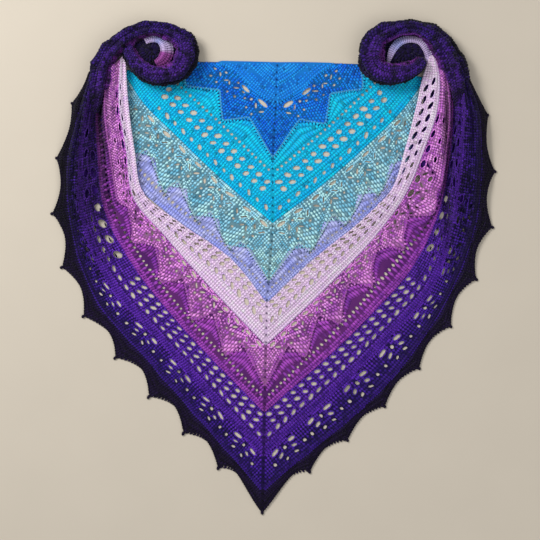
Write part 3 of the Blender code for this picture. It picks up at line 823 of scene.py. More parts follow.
class StitchPattern:
    """The single stitches that the rows repeat, each about one unit long, wide and high."""

    def __init__(self) -> None:
        """Makes one object for each kind of stitch."""
        self.objects = {kind: self.make(kind) for kind in Stitch}

    @staticmethod
    def shape(kind: Stitch) -> tuple[list[Point], list[tuple[int, ...]]]:
        """Points and faces of one stitch."""
        if kind is Stitch.POST:
            return bar([((.05, -.54, -.22), .30, .30), ((-.03, -.02, .04), .56, .46),
                        ((.03, .52, -.18), .38, .32)], 5)
        if kind is Stitch.LEAF:
            return bar([((.03, -.52, -.12), .12, .20), ((-.03, -.04, .04), .56, .46),
                        ((.02, .50, -.12), .14, .20)], 5)
        if kind is Stitch.PUFF:
            return bar([((0, -.5, -.15), .2, .2), ((0, -.16, 0), .5, .48),
                        ((0, .22, 0), .48, .5), ((0, .5, -.12), .22, .24)], 6)
        points, faces = [], []
        for hand in (-1, 1):
            rings = [((.06 * hand, -.56, -.2), .12, .2), ((.30 * hand, .02, .08), .22, .40),
                     ((.16 * hand, .54, -.06), .16, .26)]
            lobe, sides = bar(rings, 4)
            faces += [tuple(k + len(points) for k in face) for face in sides]
            points += lobe
        return points, faces

    def make(self, kind: Stitch) -> bpy.types.Object:
        """One stitch as an object."""
        mesh = bpy.data.meshes.new(f"single_{kind.value}")
        points, faces = self.shape(kind)
        mesh.from_pydata(points, [], faces)
        turn_outwards(mesh)
        # The rise is painted shade: the material darkens a stitch's low points, and its ends, whose rise
        # is halved, as shade between the stitches.
        rise = [min(max((point[2] + .42) / .72, 0), 1) * (1 if abs(point[1]) < .45 else .5)
                for point in points]
        mesh.attributes.new("rise", "FLOAT", "POINT").data.foreach_set("value", rise)
        return placed(mesh)

    def clear(self) -> None:
        """Removes the single stitches once the rows are made."""
        for single in self.objects.values():
            bpy.data.objects.remove(single, do_unlink=True)


@dataclass
class StitchField:
    """Stitches gathered for one piece: their places, turns, sizes and colours."""

    centres: list[Array] = field(default_factory=list)
    turns: list[Array] = field(default_factory=list)
    sizes: list[Array] = field(default_factory=list)
    colours: list[Array] = field(default_factory=list)

    def add(self, foot: Array, head: Array, row: Array, wide: Array | float, thick: Array | float,
            colour: Array) -> None:
        """Adds stitches from their feet to their heads.

        Args:
            foot: where each begins, in metres.
            head: where each ends, in metres.
            row: direction of the row at each.
            wide: width in mm.
            thick: height in mm.
            colour: colour of each, linear.
        """
        if not len(foot):
            return
        ahead = head - foot
        length = np.linalg.norm(ahead, axis=1)
        keep = length > .0006
        foot, head, row, ahead, length = foot[keep], head[keep], row[keep], ahead[keep], length[keep]
        colour = colour[keep]
        wide = np.broadcast_to(wide, keep.shape)[keep]
        thick = np.broadcast_to(thick, keep.shape)[keep]
        y = ahead / length[:, None]
        up = np.cross(row, y)
        up *= np.sign(up[:, 2:3] + 1e-9)
        up /= np.linalg.norm(up, axis=1)[:, None] + 1e-12
        x = np.cross(y, up)
        turn = np.stack([np.arctan2(y[:, 2], up[:, 2]),
                         np.arcsin(np.clip(-x[:, 2], -1, 1)),
                         np.arctan2(x[:, 1], x[:, 0])], 1)
        self.centres.append((foot + head) / 2)
        self.turns.append(turn)
        self.sizes.append(np.stack([wide * MM, length, thick * MM], 1))
        self.colours.append(colour)

    def lay(self, foot: Array, head: Array, wide: float, thick: float, colour: Colour | Array) -> None:
        """Adds stitches that lie level, all of one colour."""
        colour = np.tile(np.array(colour), (len(foot), 1))
        self.add(foot, head, np.cross(head - foot, UP), wide, thick, colour)

    def count(self) -> int:
        """How many stitches there are."""
        return sum(len(part) for part in self.centres)


def empty_fields() -> dict[Stitch, StitchField]:
    """A field for each kind of stitch, for one piece."""
    return {kind: StitchField() for kind in Stitch}


class RowMaker:
    """Turns fields of stitches into plain meshes, through one Geometry Nodes tree."""

    def __init__(self, pattern: StitchPattern) -> None:
        """Keeps the single stitches and builds the tree."""
        self.pattern = pattern
        self.tree = self.build_tree()

    @staticmethod
    def build_tree() -> bpy.types.NodeTree:
        """The tree: one stitch on each point, turned, sized and slightly uneven."""
        tree = bpy.data.node_groups.new("crochet_rows", "GeometryNodeTree")
        for name, way, kind in (("Geometry", "INPUT", "Geometry"), ("Single stitch", "INPUT", "Object"),
                                ("Unevenness", "INPUT", "Float"), ("Yarn finish", "INPUT", "Material"),
                                ("Geometry", "OUTPUT", "Geometry")):
            tree.interface.new_socket(name, in_out=way, socket_type=f"NodeSocket{kind}")
        nodes, links = tree.nodes, tree.links
        entry, leave = nodes.new("NodeGroupInput"), nodes.new("NodeGroupOutput")
        single = add_node(nodes, "GeometryNodeObjectInfo", transform_space="ORIGINAL")
        place = nodes.new("GeometryNodeInstanceOnPoints")
        turn, size = (add_node(nodes, "GeometryNodeInputNamedAttribute", data_type="FLOAT_VECTOR")
                      for _ in range(2))
        turn.inputs["Name"].default_value = "turn"
        size.inputs["Name"].default_value = "size"
        low = add_node(nodes, "ShaderNodeMath", {0: 1.0}, operation="SUBTRACT")
        high = add_node(nodes, "ShaderNodeMath", {0: 1.0}, operation="ADD")
        uneven = add_node(nodes, "FunctionNodeRandomValue", {"Seed": SEED}, data_type="FLOAT")
        scale = add_node(nodes, "ShaderNodeVectorMath", operation="SCALE")
        realize = nodes.new("GeometryNodeRealizeInstances")
        dress = nodes.new("GeometryNodeSetMaterial")
        floats = [s for s in uneven.inputs if s.type == "VALUE"]
        amount = next(s for s in uneven.outputs if s.type == "VALUE")
        turned, sized = (next(s for s in node.outputs if s.type == "VECTOR") for node in (turn, size))
        for start, end in ((entry.outputs["Unevenness"], low.inputs[1]),
                           (entry.outputs["Unevenness"], high.inputs[1]),
                           (low.outputs[0], floats[0]),
                           (high.outputs[0], floats[1]),
                           (sized, scale.inputs[0]),
                           (amount, scale.inputs["Scale"]),
                           (entry.outputs["Single stitch"], single.inputs["Object"]),
                           (entry.outputs["Geometry"], place.inputs["Points"]),
                           (single.outputs["Geometry"], place.inputs["Instance"]),
                           (turned, place.inputs["Rotation"]),
                           (scale.outputs[0], place.inputs["Scale"]),
                           (place.outputs[0], realize.inputs[0]),
                           (realize.outputs[0], dress.inputs["Geometry"]),
                           (entry.outputs["Yarn finish"], dress.inputs["Material"]),
                           (dress.outputs[0], leave.inputs[0])):
            links.new(start, end)
        return tree

    def make(self, name: str, field_of: dict[Stitch, StitchField],
             finish: bpy.types.Material) -> bpy.types.Object | None:
        """One piece from fields of stitches.

        Args:
            name: name of the piece.
            field_of: the field of each kind of stitch.
            finish: the yarn's material.

        Returns:
            The piece as a plain mesh, or None where there are no stitches.
        """
        parts = [self.realized(name, kind, rows, finish)
                 for kind, rows in field_of.items() if rows.count()]
        if not parts:
            return None
        piece = parts[0]
        if len(parts) > 1:
            with bpy.context.temp_override(active_object=piece, selected_editable_objects=parts,
                                           selected_objects=parts):
                bpy.ops.object.join()
        piece.name = piece.data.name = name
        return piece

    def realized(self, name: str, kind: Stitch, rows: StitchField,
                 finish: bpy.types.Material) -> bpy.types.Object:
        """The stitches of one kind as a plain mesh."""
        cloud = bpy.data.meshes.new(f"{name}_{kind.value}")
        centres = np.concatenate(rows.centres)
        cloud.vertices.add(len(centres))
        cloud.vertices.foreach_set("co", centres.astype(np.float32).ravel())
        for title, kind_of, values in (("turn", "FLOAT_VECTOR", rows.turns),
                                       ("size", "FLOAT_VECTOR", rows.sizes)):
            cloud.attributes.new(title, kind_of, "POINT").data.foreach_set(
                "vector", np.concatenate(values).astype(np.float32).ravel())
        colours = np.concatenate(rows.colours)
        colours = np.concatenate([colours, np.ones((len(colours), 1))], 1)
        cloud.attributes.new("yarn", "FLOAT_COLOR", "POINT").data.foreach_set(
            "color", colours.astype(np.float32).ravel())
        piece = placed(cloud)
        modifier = piece.modifiers.new("rows", "NODES")
        modifier.node_group = self.tree
        sockets = {s.name: s.identifier for s in self.tree.interface.items_tree
                   if s.in_out == "INPUT"}
        modifier[sockets["Single stitch"]] = self.pattern.objects[kind]
        modifier[sockets["Unevenness"]] = 0.07
        modifier[sockets["Yarn finish"]] = finish
        graph = bpy.context.evaluated_depsgraph_get()
        mesh = bpy.data.meshes.new_from_object(piece.evaluated_get(graph),
                                               preserve_all_data_layers=True, depsgraph=graph)
        piece.modifiers.clear()
        piece.data = mesh
        bpy.data.meshes.remove(cloud)
        for title in ("turn", "size"):
            if title in mesh.attributes:
                mesh.attributes.remove(mesh.attributes[title])
        return piece


def srgb(red: int, green: int, blue: int) -> Colour:
    """A linear colour from everyday 0 to 255 values."""
    return tuple(((v / 255 + .055) / 1.055) ** 2.4 if v > 10 else v / 3294.6
                 for v in (red, green, blue))


def plain_rows(count: int, tops: tuple[int, ...] = (),
               kind: Stitch = Stitch.POST) -> tuple[StitchRow, ...]:
    """Rows of equal height across a band: those numbered in tops end in a chain line."""
    return tuple(StitchRow(k / count, (k + 1) / count, kind=kind, top=k in tops)
                 for k in range(count))


FANS_DEEP = (FanHole(.17, 24, 4.6, 4.4, 0, .90), FanHole(.26, 8, 4.6, 4.4, 0, .90),
             FanHole(.31, 20, 7.5, 4.4, .8, .88), FanHole(.34, 33, 6.5, 4.2, -.8, .88),
             FanHole(.52, 12, 4.2, 4.2, 0, .88), FanHole(.56, 25, 4.0, 4.0, 0, .88),
             FanHole(.36, 0, 4.0, 4.0, 0, .88))
FANS_WIDE = (FanHole(.31, 11, 8.0, 4.6, .8, .9),
             FanHole(.31, 25, 8.0, 4.6, -.8, .9), FanHole(.47, 4, 6.5, 4.2, .8, .88),
             FanHole(.50, 20, 4.4, 4.4, 0, .88), FanHole(.66, 12, 4.0, 4.0, 0, .88),
             FanHole(.22, 0, 4.2, 4.2, 0, .9))
FANS_PINK = (FanHole(.33, 13, 7.5, 4.4, .7, .72),
             FanHole(.33, 27, 7.5, 4.4, -.7, .72), FanHole(.56, 8, 4.2, 4.2, 0, .72),
             FanHole(.56, 21, 4.0, 4.0, 0, .72), FanHole(.22, 0, 4.0, 4.0, 0, .72))
FANS_VIOLET = (FanHole(.20, 17, 15, 5.2, .10, .76), FanHole(.46, 13, 10.5, 4.4, .2, .76),
               FanHole(.70, 9, 7, 3.8, .3, .74), FanHole(.30, 0, 5.4, 5.4, 0, .76),
               FanHole(.58, 30, 5.2, 5.2, 0, .74))

LOOKS = (
    BandLook("blue_rows", "blue_yarn", srgb(34, 162, 250), srgb(18, 124, 236), .45, 30,
             plain_rows(11, (4, 10), Stitch.LEAF), (HoleRow(.60, 7.6, 8, 3.6, 3.6, 0, 1),),
             cut_holes=False),
    BandLook("blue_fans", "blue_yarn", srgb(20, 148, 255), srgb(10, 102, 236), .6, 24,
             plain_rows(13, kind=Stitch.LEAF), (HoleRow(.15, 34, 24, 19, 6.6, .05, .92),),
             FANS_DEEP, teeth_edge=2, gather=.12, edge_yarn=srgb(96, 196, 250), shade=.36),
    BandLook("turquoise_mesh", "turquoise_yarn", srgb(12, 210, 255), srgb(6, 182, 246), .45, 34,
             plain_rows(16, (2, 5, 11, 14)),
             (HoleRow(.235, 8.6, 9, 4.4, 4.0, 0, .93), HoleRow(.44, 17, 12, 9.8, 8.0, .25, .90),
              HoleRow(.60, 17, 20.5, 9.8, 8.0, .25, .90),
              HoleRow(.84, 17, 14, 10.5, 5.8, -.25, .84, slender_every=2)), settle=.2),
    BandLook("aqua_fans", "aqua_yarn", srgb(188, 240, 255), srgb(116, 194, 224), .8, 18,
             plain_rows(14, kind=Stitch.LEAF), (HoleRow(.13, 33.5, 17, 16, 5.6, .05, .93),),
             FANS_WIDE, teeth_edge=4, gather=.12, edge_yarn=srgb(196, 232, 238), shade=.34),
    BandLook("lavender_rows", "lavender_yarn", srgb(188, 192, 252), srgb(150, 160, 246), .6, 36,
             plain_rows(5, (2, 4)), (HoleRow(.46, 8.6, 9, 4.4, 4.2, 0, .93),), settle=.45),
    BandLook("lilac_mesh", "lilac_yarn", srgb(255, 224, 255), srgb(236, 202, 255), .5, 40,
             plain_rows(11, (6, 8)),
             (HoleRow(.10, 16.6, 11, 9.6, 6.0, .25, .60), HoleRow(.27, 16.6, 19, 9.8, 6.6, .25, .60),
              HoleRow(.52, 16.6, 13, 12.0, 6.6, -.3, .62),
              HoleRow(.30, 19, 296, 14, 9.0, .35, .99, since=.58, only=Side.RIGHT),
              HoleRow(.66, 19, 305, 13, 8.5, .30, .99, since=.60, only=Side.RIGHT),
              HoleRow(.84, 23, 300, 14, 12, .10, .97, since=.58, only=Side.LEFT)),
             edge_yarn=srgb(234, 208, 246), shade=.68),
    BandLook("pink_fans", "pink_yarn", srgb(250, 158, 242), srgb(182, 90, 200), .85, 20,
             plain_rows(10, kind=Stitch.LEAF),
             (HoleRow(.13, 24, 15, 13, 5.2, .05, .64),
              HoleRow(.15, 25, 318, 16, 7.5, .05, .95, since=.61),
              HoleRow(.55, 31, 330, 11, 6.0, .1, .90, since=.64)),
             FANS_PINK, teeth_edge=2, gather=.12, edge_yarn=srgb(206, 118, 208), shade=.30),
    BandLook("magenta_rows", "magenta_yarn", srgb(178, 78, 196), srgb(126, 50, 162), .6, 30,
             (StitchRow(0, .17), StitchRow(.17, .34), StitchRow(.34, .5),
              StitchRow(.5, .74, thick=2.4), StitchRow(.74, .87, top=True),
              StitchRow(.87, 1, top=True)),
             (HoleRow(.47, 8.6, 9, 4.2, 4.2, 0, .93),), settle=.48, shade=.28),
    BandLook("purple_mesh", "purple_yarn", srgb(102, 46, 182), srgb(70, 28, 146), .6, 34,
             plain_rows(11, (5, 8, 9, 10), Stitch.LEAF),
             (HoleRow(.14, 17, 10, 9.6, 7.0, .25, .52), HoleRow(.36, 17, 18.5, 9.6, 7.0, .25, .52),
              HoleRow(.60, 17, 12, 11.5, 6.0, -.2, .72),
              HoleRow(.26, 27, 300, 16, 13, .2, .90, since=.55),
              HoleRow(.62, 31, 322, 15, 12, -.2, .92, since=.70)),
             shade=.24, slits=(.22, .52, .84)),
    BandLook("violet_fans", "violet_yarn", srgb(72, 30, 158), srgb(44, 16, 112), .7, 22,
             plain_rows(8, (7,), Stitch.LEAF), fan_holes=FANS_VIOLET, teeth_edge=6, gather=.10,
             shade=.22, slits=(.18, .42, .66)),
    BandLook("black_edging", "black_yarn", srgb(30, 14, 54), srgb(14, 6, 26), .6, 26,
             plain_rows(6, (1, 3), Stitch.LEAF), edge_yarn=srgb(22, 12, 38), shade=.5),
)
BAND_LOOKS = {look.name: look for look in LOOKS}


class BandPiece:
    """One band: its thin cloth, and its rows of stitches over it."""

    gain = 1.1
    # How far the stitches are above the layer's underside, and clear of the holes, in mm
    lift, rim_lift, chain_lift, dot_lift, slit_lift = 1.35, 1.5, 1.9, 2.2, 2.3
    margin, chain_margin = 1.1, .3
    tightest = 2.7
    rim_from = 8.0
    spine_pitch, slit_pitch = 7.8, 13.0
    gap_line, gap_pitch = 2.6, 5.2

    def __init__(self, shell: BandShell, maker: RowMaker, finish: bpy.types.Material) -> None:
        """Keeps what the band is made from."""
        self.shell, self.maker, self.finish = shell, maker, finish
        self.under: list[bpy.types.Object] = []
        self.look, self.layer = shell.look, shell.layer
        self.random = np.random.default_rng(SEED + shell.index + 10 * len(shell.layer.bands))

    def colours(self, along: Array, across: Array | float, tone: float = 1.0,
                jitter: bool = True) -> Array:
        """Colours of stitches, changing along each row as space-dyed yarn does.

        Args:
            along: distances along the band, in mm.
            across: how far across the band they are.
            tone: brightness of the stitches.
            jitter: whether single stitches vary.

        Returns:
            A linear colour for each place.
        """
        look = self.look
        along = np.asarray(along, float)
        across = across + np.zeros(len(along))
        phase = np.round(across * 14) * 23.7
        mix = .5 + .42 * grain(along + 3 * phase, phase, look.speckle_size)
        mix += .22 * grain(along, phase + 5, look.speckle_size * .4, 1.2)
        if jitter:
            mix += self.random.normal(0, .13, len(mix))
        mix = np.clip((mix - .5) * look.speckle * 2 + .4, 0, 1)[:, None]
        colour = mixed(look.yarn, look.second, mix)
        if look.name == "black_edging":
            near = (1 - smooth(across, .05, .30))[:, None]
            colour = mixed(colour, srgb(56, 24, 128), near)
        if look.name == "violet_fans":
            near = (1 - smooth(across, .0, .5))[:, None]
            colour = mixed(colour, srgb(94, 40, 178), near)
            edge = (smooth(across, .62, .95) * (.35 + .5 * smooth(along, 240, 400)))[:, None]
            colour = mixed(colour, srgb(24, 13, 46), edge)
        bright = tone * (1 + (self.random.normal(0, .06, len(mix))[:, None] if jitter else 0))
        return np.clip(colour * bright * self.gain, 0, 1)

    def spots(self, chart: BandChart, along: Array, across: Array | float, raised: float) -> Array:
        """Points in metres at places of the band."""
        across = across + np.zeros(len(along))
        share, depth = chart.find(chart.fanned(along, across), across)
        return self.layer.place(chart.side, np.clip(share, 0, 1), depth, raised)

    def row_places(self, chart: BandChart, row: StitchRow) -> Array:
        """Distances along the band's edge at which a row has its stitches."""
        middle = (row.start + row.end) / 2
        mitre = chart.outer - float(chart.straight(middle))
        if self.layer.bends:
            last = float(self.layer.lengths[chart.side][chart.rim])
        else:
            last = mitre + float(self.layer.row_length(chart.side, chart.straight(middle)))
        return np.arange(mitre + 1.3 + self.random.uniform(0, .8), last, row.pitch)

    def open_places(self, chart: BandChart, along: Array, across: float, holes: list[Hole],
                    margin: float) -> Array:
        """Which stitches stand clear of the holes and within the band."""
        drawn = chart.fanned(along, np.full(len(along), across))
        share, depth = chart.find(drawn, across)
        keep = (share > .002) & (share < .996)
        for hole in holes:
            near = np.abs(drawn - hole.along) < hole.length / 2 + 4
            if near.any():
                keep &= ~(near & hole.covers(drawn, depth, margin))
        return keep

    def rows_of(self, chart: BandChart, field_of: dict[Stitch, StitchField]) -> None:
        """Adds the band's rows on one side of the spine."""
        holes = chart.holes()
        for number, row in enumerate(self.look.rows):
            along = self.row_places(chart, row)
            middle = (row.start + row.end) / 2
            third = (row.end - row.start) * .3
            keep = self.open_places(chart, along, middle - third, holes, self.margin)
            keep &= self.open_places(chart, along, middle + third, holes, self.margin)
            posts = along[keep]
            foot = self.spots(chart, posts, row.start, self.lift)
            head = self.spots(chart, posts, row.end, self.lift)
            tight = np.linalg.norm(head - foot, axis=1) < self.tightest * MM
            later = self.look.rows[min(number + 1, len(self.look.rows) - 1)]
            long = self.spots(chart, posts, later.end, self.lift)
            tight &= bool(number % 2) | self.open_places(chart, posts, (later.start + later.end) / 2,
                                                         holes, self.margin)
            head = np.where(tight[:, None], foot if number % 2 else long, head)
            ahead = (self.spots(chart, posts + 1, middle, self.lift)
                     - self.spots(chart, posts - 1, middle, self.lift))
            colour = self.colours(posts, middle)
            dark = self.random.uniform(0, 1, (len(posts), 1)) < .26 - .38 * self.look.shade
            colour = np.where(dark, colour * .5, colour)
            uneven = self.random.normal(0, .42, (len(posts), 1)) * self.layer.gathered(foot)
            # Stitch colours take the layer's painted light: painted shade in troughs and gathered wings,
            # painted highlight on ridges.
            colour = np.clip(colour * self.layer.light(foot) * np.clip(1 + uneven, .3, 1.9), 0, 1)
            field_of[row.kind].add(foot, head, ahead, row.pitch * (.96 + .12 * self.look.shade),
                                   row.thick, colour)
            if not row.top:
                continue
            at = row.end - .01
            tops = along[self.open_places(chart, along, at, holes, self.chain_margin)]
            foot = self.spots(chart, tops - row.pitch / 2, at, self.chain_lift)
            head = self.spots(chart, tops + row.pitch / 2, at, self.chain_lift)
            out = (self.spots(chart, tops, at + .02, self.chain_lift)
                   - self.spots(chart, tops, at - .02, self.chain_lift))
            # The chains are painted 8% lighter, as a painted highlight on the row ridges, and take the
            # layer's painted light.
            colour = self.colours(tops, at, 1.08) * self.layer.light(foot)
            field_of[Stitch.LINK].add(foot, head, out, 2.6, 1.6, colour)

    def spine_dots(self, chart: BandChart, field_of: dict[Stitch, StitchField]) -> None:
        """Adds small dark puffs down the spine, as painted shade in the gaps between the two halves'
        stitches.
        """
        depth = np.arange(chart.inner + 3.5, chart.outer - 2, self.spine_pitch)
        depth = depth + self.random.normal(0, .5, len(depth))
        share = np.full(len(depth), .0002)
        foot = self.layer.place(chart.side, share, depth - 1.1, self.dot_lift)
        head = self.layer.place(chart.side, share, depth + 1.1, self.dot_lift)
        field_of[Stitch.PUFF].lay(foot, head, 2.6, .9, np.array(self.look.second) * .22)

    def wing_slits(self, chart: BandChart, field_of: dict[Stitch, StitchField]) -> None:
        """Adds dark puffs where the wing is gathered, as painted shade in the slits left of its holes.
        """
        length = float(self.layer.lengths[chart.side][chart.rim])
        for across in self.look.slits:
            along = np.arange(.57 * length, .97 * length, self.slit_pitch)
            along = along + self.random.uniform(-4, 4, len(along))
            half = self.random.uniform(1.6, 4.2, len(along))
            at = across + self.random.normal(0, .05, len(along))
            foot = self.spots(chart, along - half, at, self.slit_lift)
            head = self.spots(chart, along + half, at, self.slit_lift)
            field_of[Stitch.PUFF].lay(foot, head, 2.7, .9, np.array(self.look.second) * .12)

    def hole_rims(self, chart: BandChart, field_of: dict[Stitch, StitchField]) -> None:
        """Adds the chain stitches round each larger hole."""
        for hole in chart.holes():
            if hole.length < self.rim_from:
                continue
            around = Hole(hole.along, hole.depth, hole.length + 2.0, hole.width + 2.0, hole.lean,
                          hole.round_over)
            count = max(int((hole.length + hole.width) * 1.7 / 3.7), 6)
            along, depth = around.outline(count)
            share = self.layer.share_of(chart.side, along, depth, chart.rim)
            if share.min() < .002 or share.max() > .99:
                continue
            points = self.layer.place(chart.side, share, depth, self.rim_lift)
            after = np.roll(points, -1, axis=0)
            out = points - points.mean(0)
            across = (hole.depth - chart.inner) / (chart.outer - chart.inner)
            # Painted light on the rims: darker round the holes of bands with pale cloth as painted
            # shade, lighter on bands with dark cloth as painted highlight, and the layer's painted
            # light.
            colour = self.colours(along, across, 1.2 - .5 * self.look.shade)
            colour = colour * self.layer.light(points)
            field_of[Stitch.POST].add(points, after, out, 2.1, 1.9, colour)

    def edge_chain(self, chart: BandChart, field_of: dict[Stitch, StitchField]) -> None:
        """Adds the pale or dark chain along a toothed outer edge."""
        if self.look.edge_yarn is None:
            return
        line = self.along_edge(chart, -.8, 4.0)
        foot, head = line[:-1], line[1:]
        out = np.cross(head - foot, UP)
        colour = np.tile(np.array(self.look.edge_yarn), (len(foot), 1))
        colour = np.clip(colour * (1 + self.random.normal(0, .07, (len(foot), 1))), 0, 1)
        field_of[Stitch.LINK].add(foot, head, out, 2.6, 1.8, colour)

    def along_edge(self, chart: BandChart, gap: float, pitch: float) -> Array:
        """Points in metres at a pitch along a line beside the outer edge, both in mm."""
        share, depth = chart.edge_line(chart.rim, gap)
        points = self.layer.place(chart.side, share, depth, self.chain_lift)
        run = np.concatenate([[0], np.cumsum(np.linalg.norm(np.diff(points, axis=0), axis=1))])
        even = np.arange(0, run[-1], pitch * MM)
        return np.stack([np.interp(even, run, points[:, k]) for k in range(3)], 1)

    def edge_gaps(self, chart: BandChart, field_of: dict[Stitch, StitchField]) -> None:
        """Adds small dark stitches beside the teeth, as painted shade in the gaps between the next
        band's first posts.
        """
        if self.look.teeth_edge != chart.rim or chart.rim == PICOT_EDGE:
            return
        line = self.along_edge(chart, self.gap_line, self.gap_pitch)
        middle = (line[:-1] + line[1:]) / 2 + np.array([0, 0, .35 * MM])
        run = line[1:] - line[:-1]
        out = np.cross(run, UP)
        out /= np.linalg.norm(out, axis=1)[:, None]
        half = self.random.uniform(1.1, 2.0, (len(out), 1)) * MM
        colour = np.tile(np.array(self.look.second) * .2, (len(out), 1))
        field_of[Stitch.LEAF].add(middle - out * half, middle + out * half, run, 1.9, .9, colour)

    def picots(self, chart: BandChart, field_of: dict[Stitch, StitchField]) -> None:
        """Adds the small nub at each tip of the outer edge."""
        if not (self.layer.bends and chart.rim == PICOT_EDGE):
            return
        length = float(self.layer.lengths[chart.side][chart.rim])
        tips = np.concatenate([[0.0], self.layer.tips(chart.side, chart.rim)])
        share = tips[tips < length * .985] / length
        edge = self.layer.depths[chart.rim]
        foot = self.layer.place(chart.side, share, np.full(len(share), edge - 3.0), 1.6)
        head = self.layer.place(chart.side, share, np.full(len(share), edge + 1.8), 1.5)
        field_of[Stitch.PUFF].lay(foot, head, 5.2, 2.4, self.look.edge_yarn)

    def cloth(self) -> bpy.types.Object:
        """The band's thin cloth, darkened by the band's shade as painted shade between the stitches,
        with the layer's painted light.
        """
        points, faces = self.shell.mesh()
        mesh = bpy.data.meshes.new(f"{self.look.name}_cloth")
        mesh.from_pydata([tuple(p) for p in points], [], faces)
        mesh.update()
        along = np.hypot(points[:, 0], points[:, 1]) / MM
        colour = self.colours(along, .6, jitter=False)
        paint(mesh, colour * self.look.shade * self.layer.light(points))
        mesh.materials.append(self.finish)
        return placed(mesh)

    def build(self) -> None:
        """Makes the band's cloth and stitches, and ties them to the frame."""
        cloth = self.cloth()
        field_of = empty_fields()
        for chart in self.shell.charts.values():
            self.rows_of(chart, field_of)
            self.hole_rims(chart, field_of)
            self.wing_slits(chart, field_of)
            if chart.side is Side.LEFT:
                self.spine_dots(chart, field_of)
            self.edge_chain(chart, field_of)
            self.edge_gaps(chart, field_of)
            self.picots(chart, field_of)
        rows = self.maker.make(f"{self.look.name}_stitches", field_of, self.finish)
        for piece in (cloth, rows):
            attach(piece, "root")
        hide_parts(self.look.name)
        self.declare()
        LOG.info("%s: %d stitches, %d triangles", self.look.name,
                 sum(part.count() for part in field_of.values()), triangles(rows))

    def shown_area(self) -> float:
        """Area of what shows of the band, from the layout's tables, in square metres."""
        total = 0.0
        across = np.linspace(0, 1, 9)[:, None]
        for chart in self.shell.charts.values():
            depth = chart.straight(across)
            mitre = chart.outer - depth
            run = (float(self.layer.lengths[chart.side][chart.rim]) - mitre if self.layer.bends
                   else self.layer.row_length(chart.side, depth))
            along = mitre + run * np.linspace(0, 1, 161)
            share, depth = chart.find(along.ravel(), np.broadcast_to(across, along.shape).ravel())
            spots = self.layer.place(chart.side, np.clip(share, 0, 1), depth)
            total += grid_area(spots.reshape(*along.shape, 3))
        return total - sum(self.hole_area(cut) for cut in self.shell.cuts())

    def hole_area(self, cut: Array) -> float:
        """Area of a hole's outline, in square metres."""
        side = Side.LEFT if cut[0, 0] < 0 else Side.RIGHT
        spots = self.layer.place(side, np.abs(cut[:, 0]) / CHART_LENGTH, cut[:, 1])
        x, y = spots[:, 0], spots[:, 1]
        return abs(float(x @ np.roll(y, -1) - y @ np.roll(x, -1))) / 2

    def declare(self) -> None:
        """Works out the band's flat cut: its length, height and area; nothing uses them."""
        length = sum(float(self.layer.lengths[side][self.shell.index + 1]) for side in Side) * MM
        height = float(self.layer.depths[self.shell.index + 1]
                       - self.layer.depths[self.shell.index]) * MM
        area = min(self.shown_area(), length * height)


class NeckPiece(BandPiece):
    """The triangle at the neck edge: its rows run beside the ridge and end at that edge."""

    neck = 312.2

    def ridge(self, chart: BandChart, along: Array, across: Array) -> Array:
        """Layout places at distances along the ridge, and rows in from it, in mm."""
        curve = self.layer.curves[chart.side][chart.rim][:, :2]
        length = float(self.layer.lengths[chart.side][chart.rim])
        share = np.asarray(along) / length
        spot = at_share(curve, share)
        ahead = at_share(curve, share + .02) - at_share(curve, share - .02)
        ahead /= np.linalg.norm(ahead, axis=1)[:, None] + 1e-9
        inwards = np.stack([-ahead[:, 1], ahead[:, 0]], 1) * chart.side.value
        beyond = np.maximum(share - 1, 0)[:, None] * length
        return spot + ahead * beyond + inwards * ((1 - across) * (chart.outer - chart.inner))[:, None]

    def spots(self, chart: BandChart, along: Array, across: Array | float, raised: float) -> Array:
        """Points in metres at places of the triangle."""
        place = self.ridge(chart, along, across + np.zeros(len(along)))
        y = np.minimum(place[:, 1], self.neck)
        return to_row(place[:, 0], y, np.full(len(place), raised))

    def open_places(self, chart: BandChart, along: Array, across: float, holes: list[Hole],
                    margin: float) -> Array:
        """Which stitches are inside the triangle and clear of its small holes."""
        place = self.ridge(chart, along, np.full(len(along), across))
        spine = np.interp(place[:, 1], (248, 313), (2, 5))
        keep = (place[:, 1] < self.neck - 1) & ((place[:, 0] - spine) * chart.side.value > .8)
        depth = np.full(len(along), float(chart.straight(across)))
        for hole in holes:
            keep &= ~hole.covers(along, depth, margin)
        return keep

    def row_places(self, chart: BandChart, row: StitchRow) -> Array:
        """Distances along the ridge, run on past its end for the inner rows."""
        last = float(self.layer.lengths[chart.side][chart.rim])
        return np.arange(.6 + self.random.uniform(0, .8), last + 46, row.pitch)


def paint(mesh: bpy.types.Mesh, colours: Array) -> None:
    """Gives a mesh its colour at each point, with any painted shade already in it, and a rise of 1 so
    the material adds no shade of its own.
    """
    values = np.concatenate([colours, np.ones((len(colours), 1))], 1).astype(np.float32)
    mesh.attributes.new("yarn", "FLOAT_COLOR", "POINT").data.foreach_set("color", values.ravel())
    mesh.attributes.new("rise", "FLOAT", "POINT").data.foreach_set("value", np.ones(len(colours)))


def triangles(piece: bpy.types.Object) -> int:
    """How many triangles a piece has."""
    return sum(len(face.vertices) - 2 for face in piece.data.polygons)


def grid_area(points: Array) -> float:
    """Surface of a grid of points in metres, in square metres."""
    one, other = points[1:, 1:] - points[:-1, :-1], points[1:, :-1] - points[:-1, 1:]
    return float(np.linalg.norm(np.cross(one, other), axis=2).sum()) / 2


def ground(x: Array, y: Array) -> Array:
    """Height of what a coil rests on: the lower cloth, or the floor beyond it, in mm."""
    past_neck = (y - NECK_DROP[0]) / (NECK_DROP[1] - NECK_DROP[0])
    past_side = (np.abs(x) - SIDE_DROP[0]) / (SIDE_DROP[1] - SIDE_DROP[0])
    return REST_ON_CLOTH * (1 - smooth(np.maximum(past_neck, past_side), 0, 1))


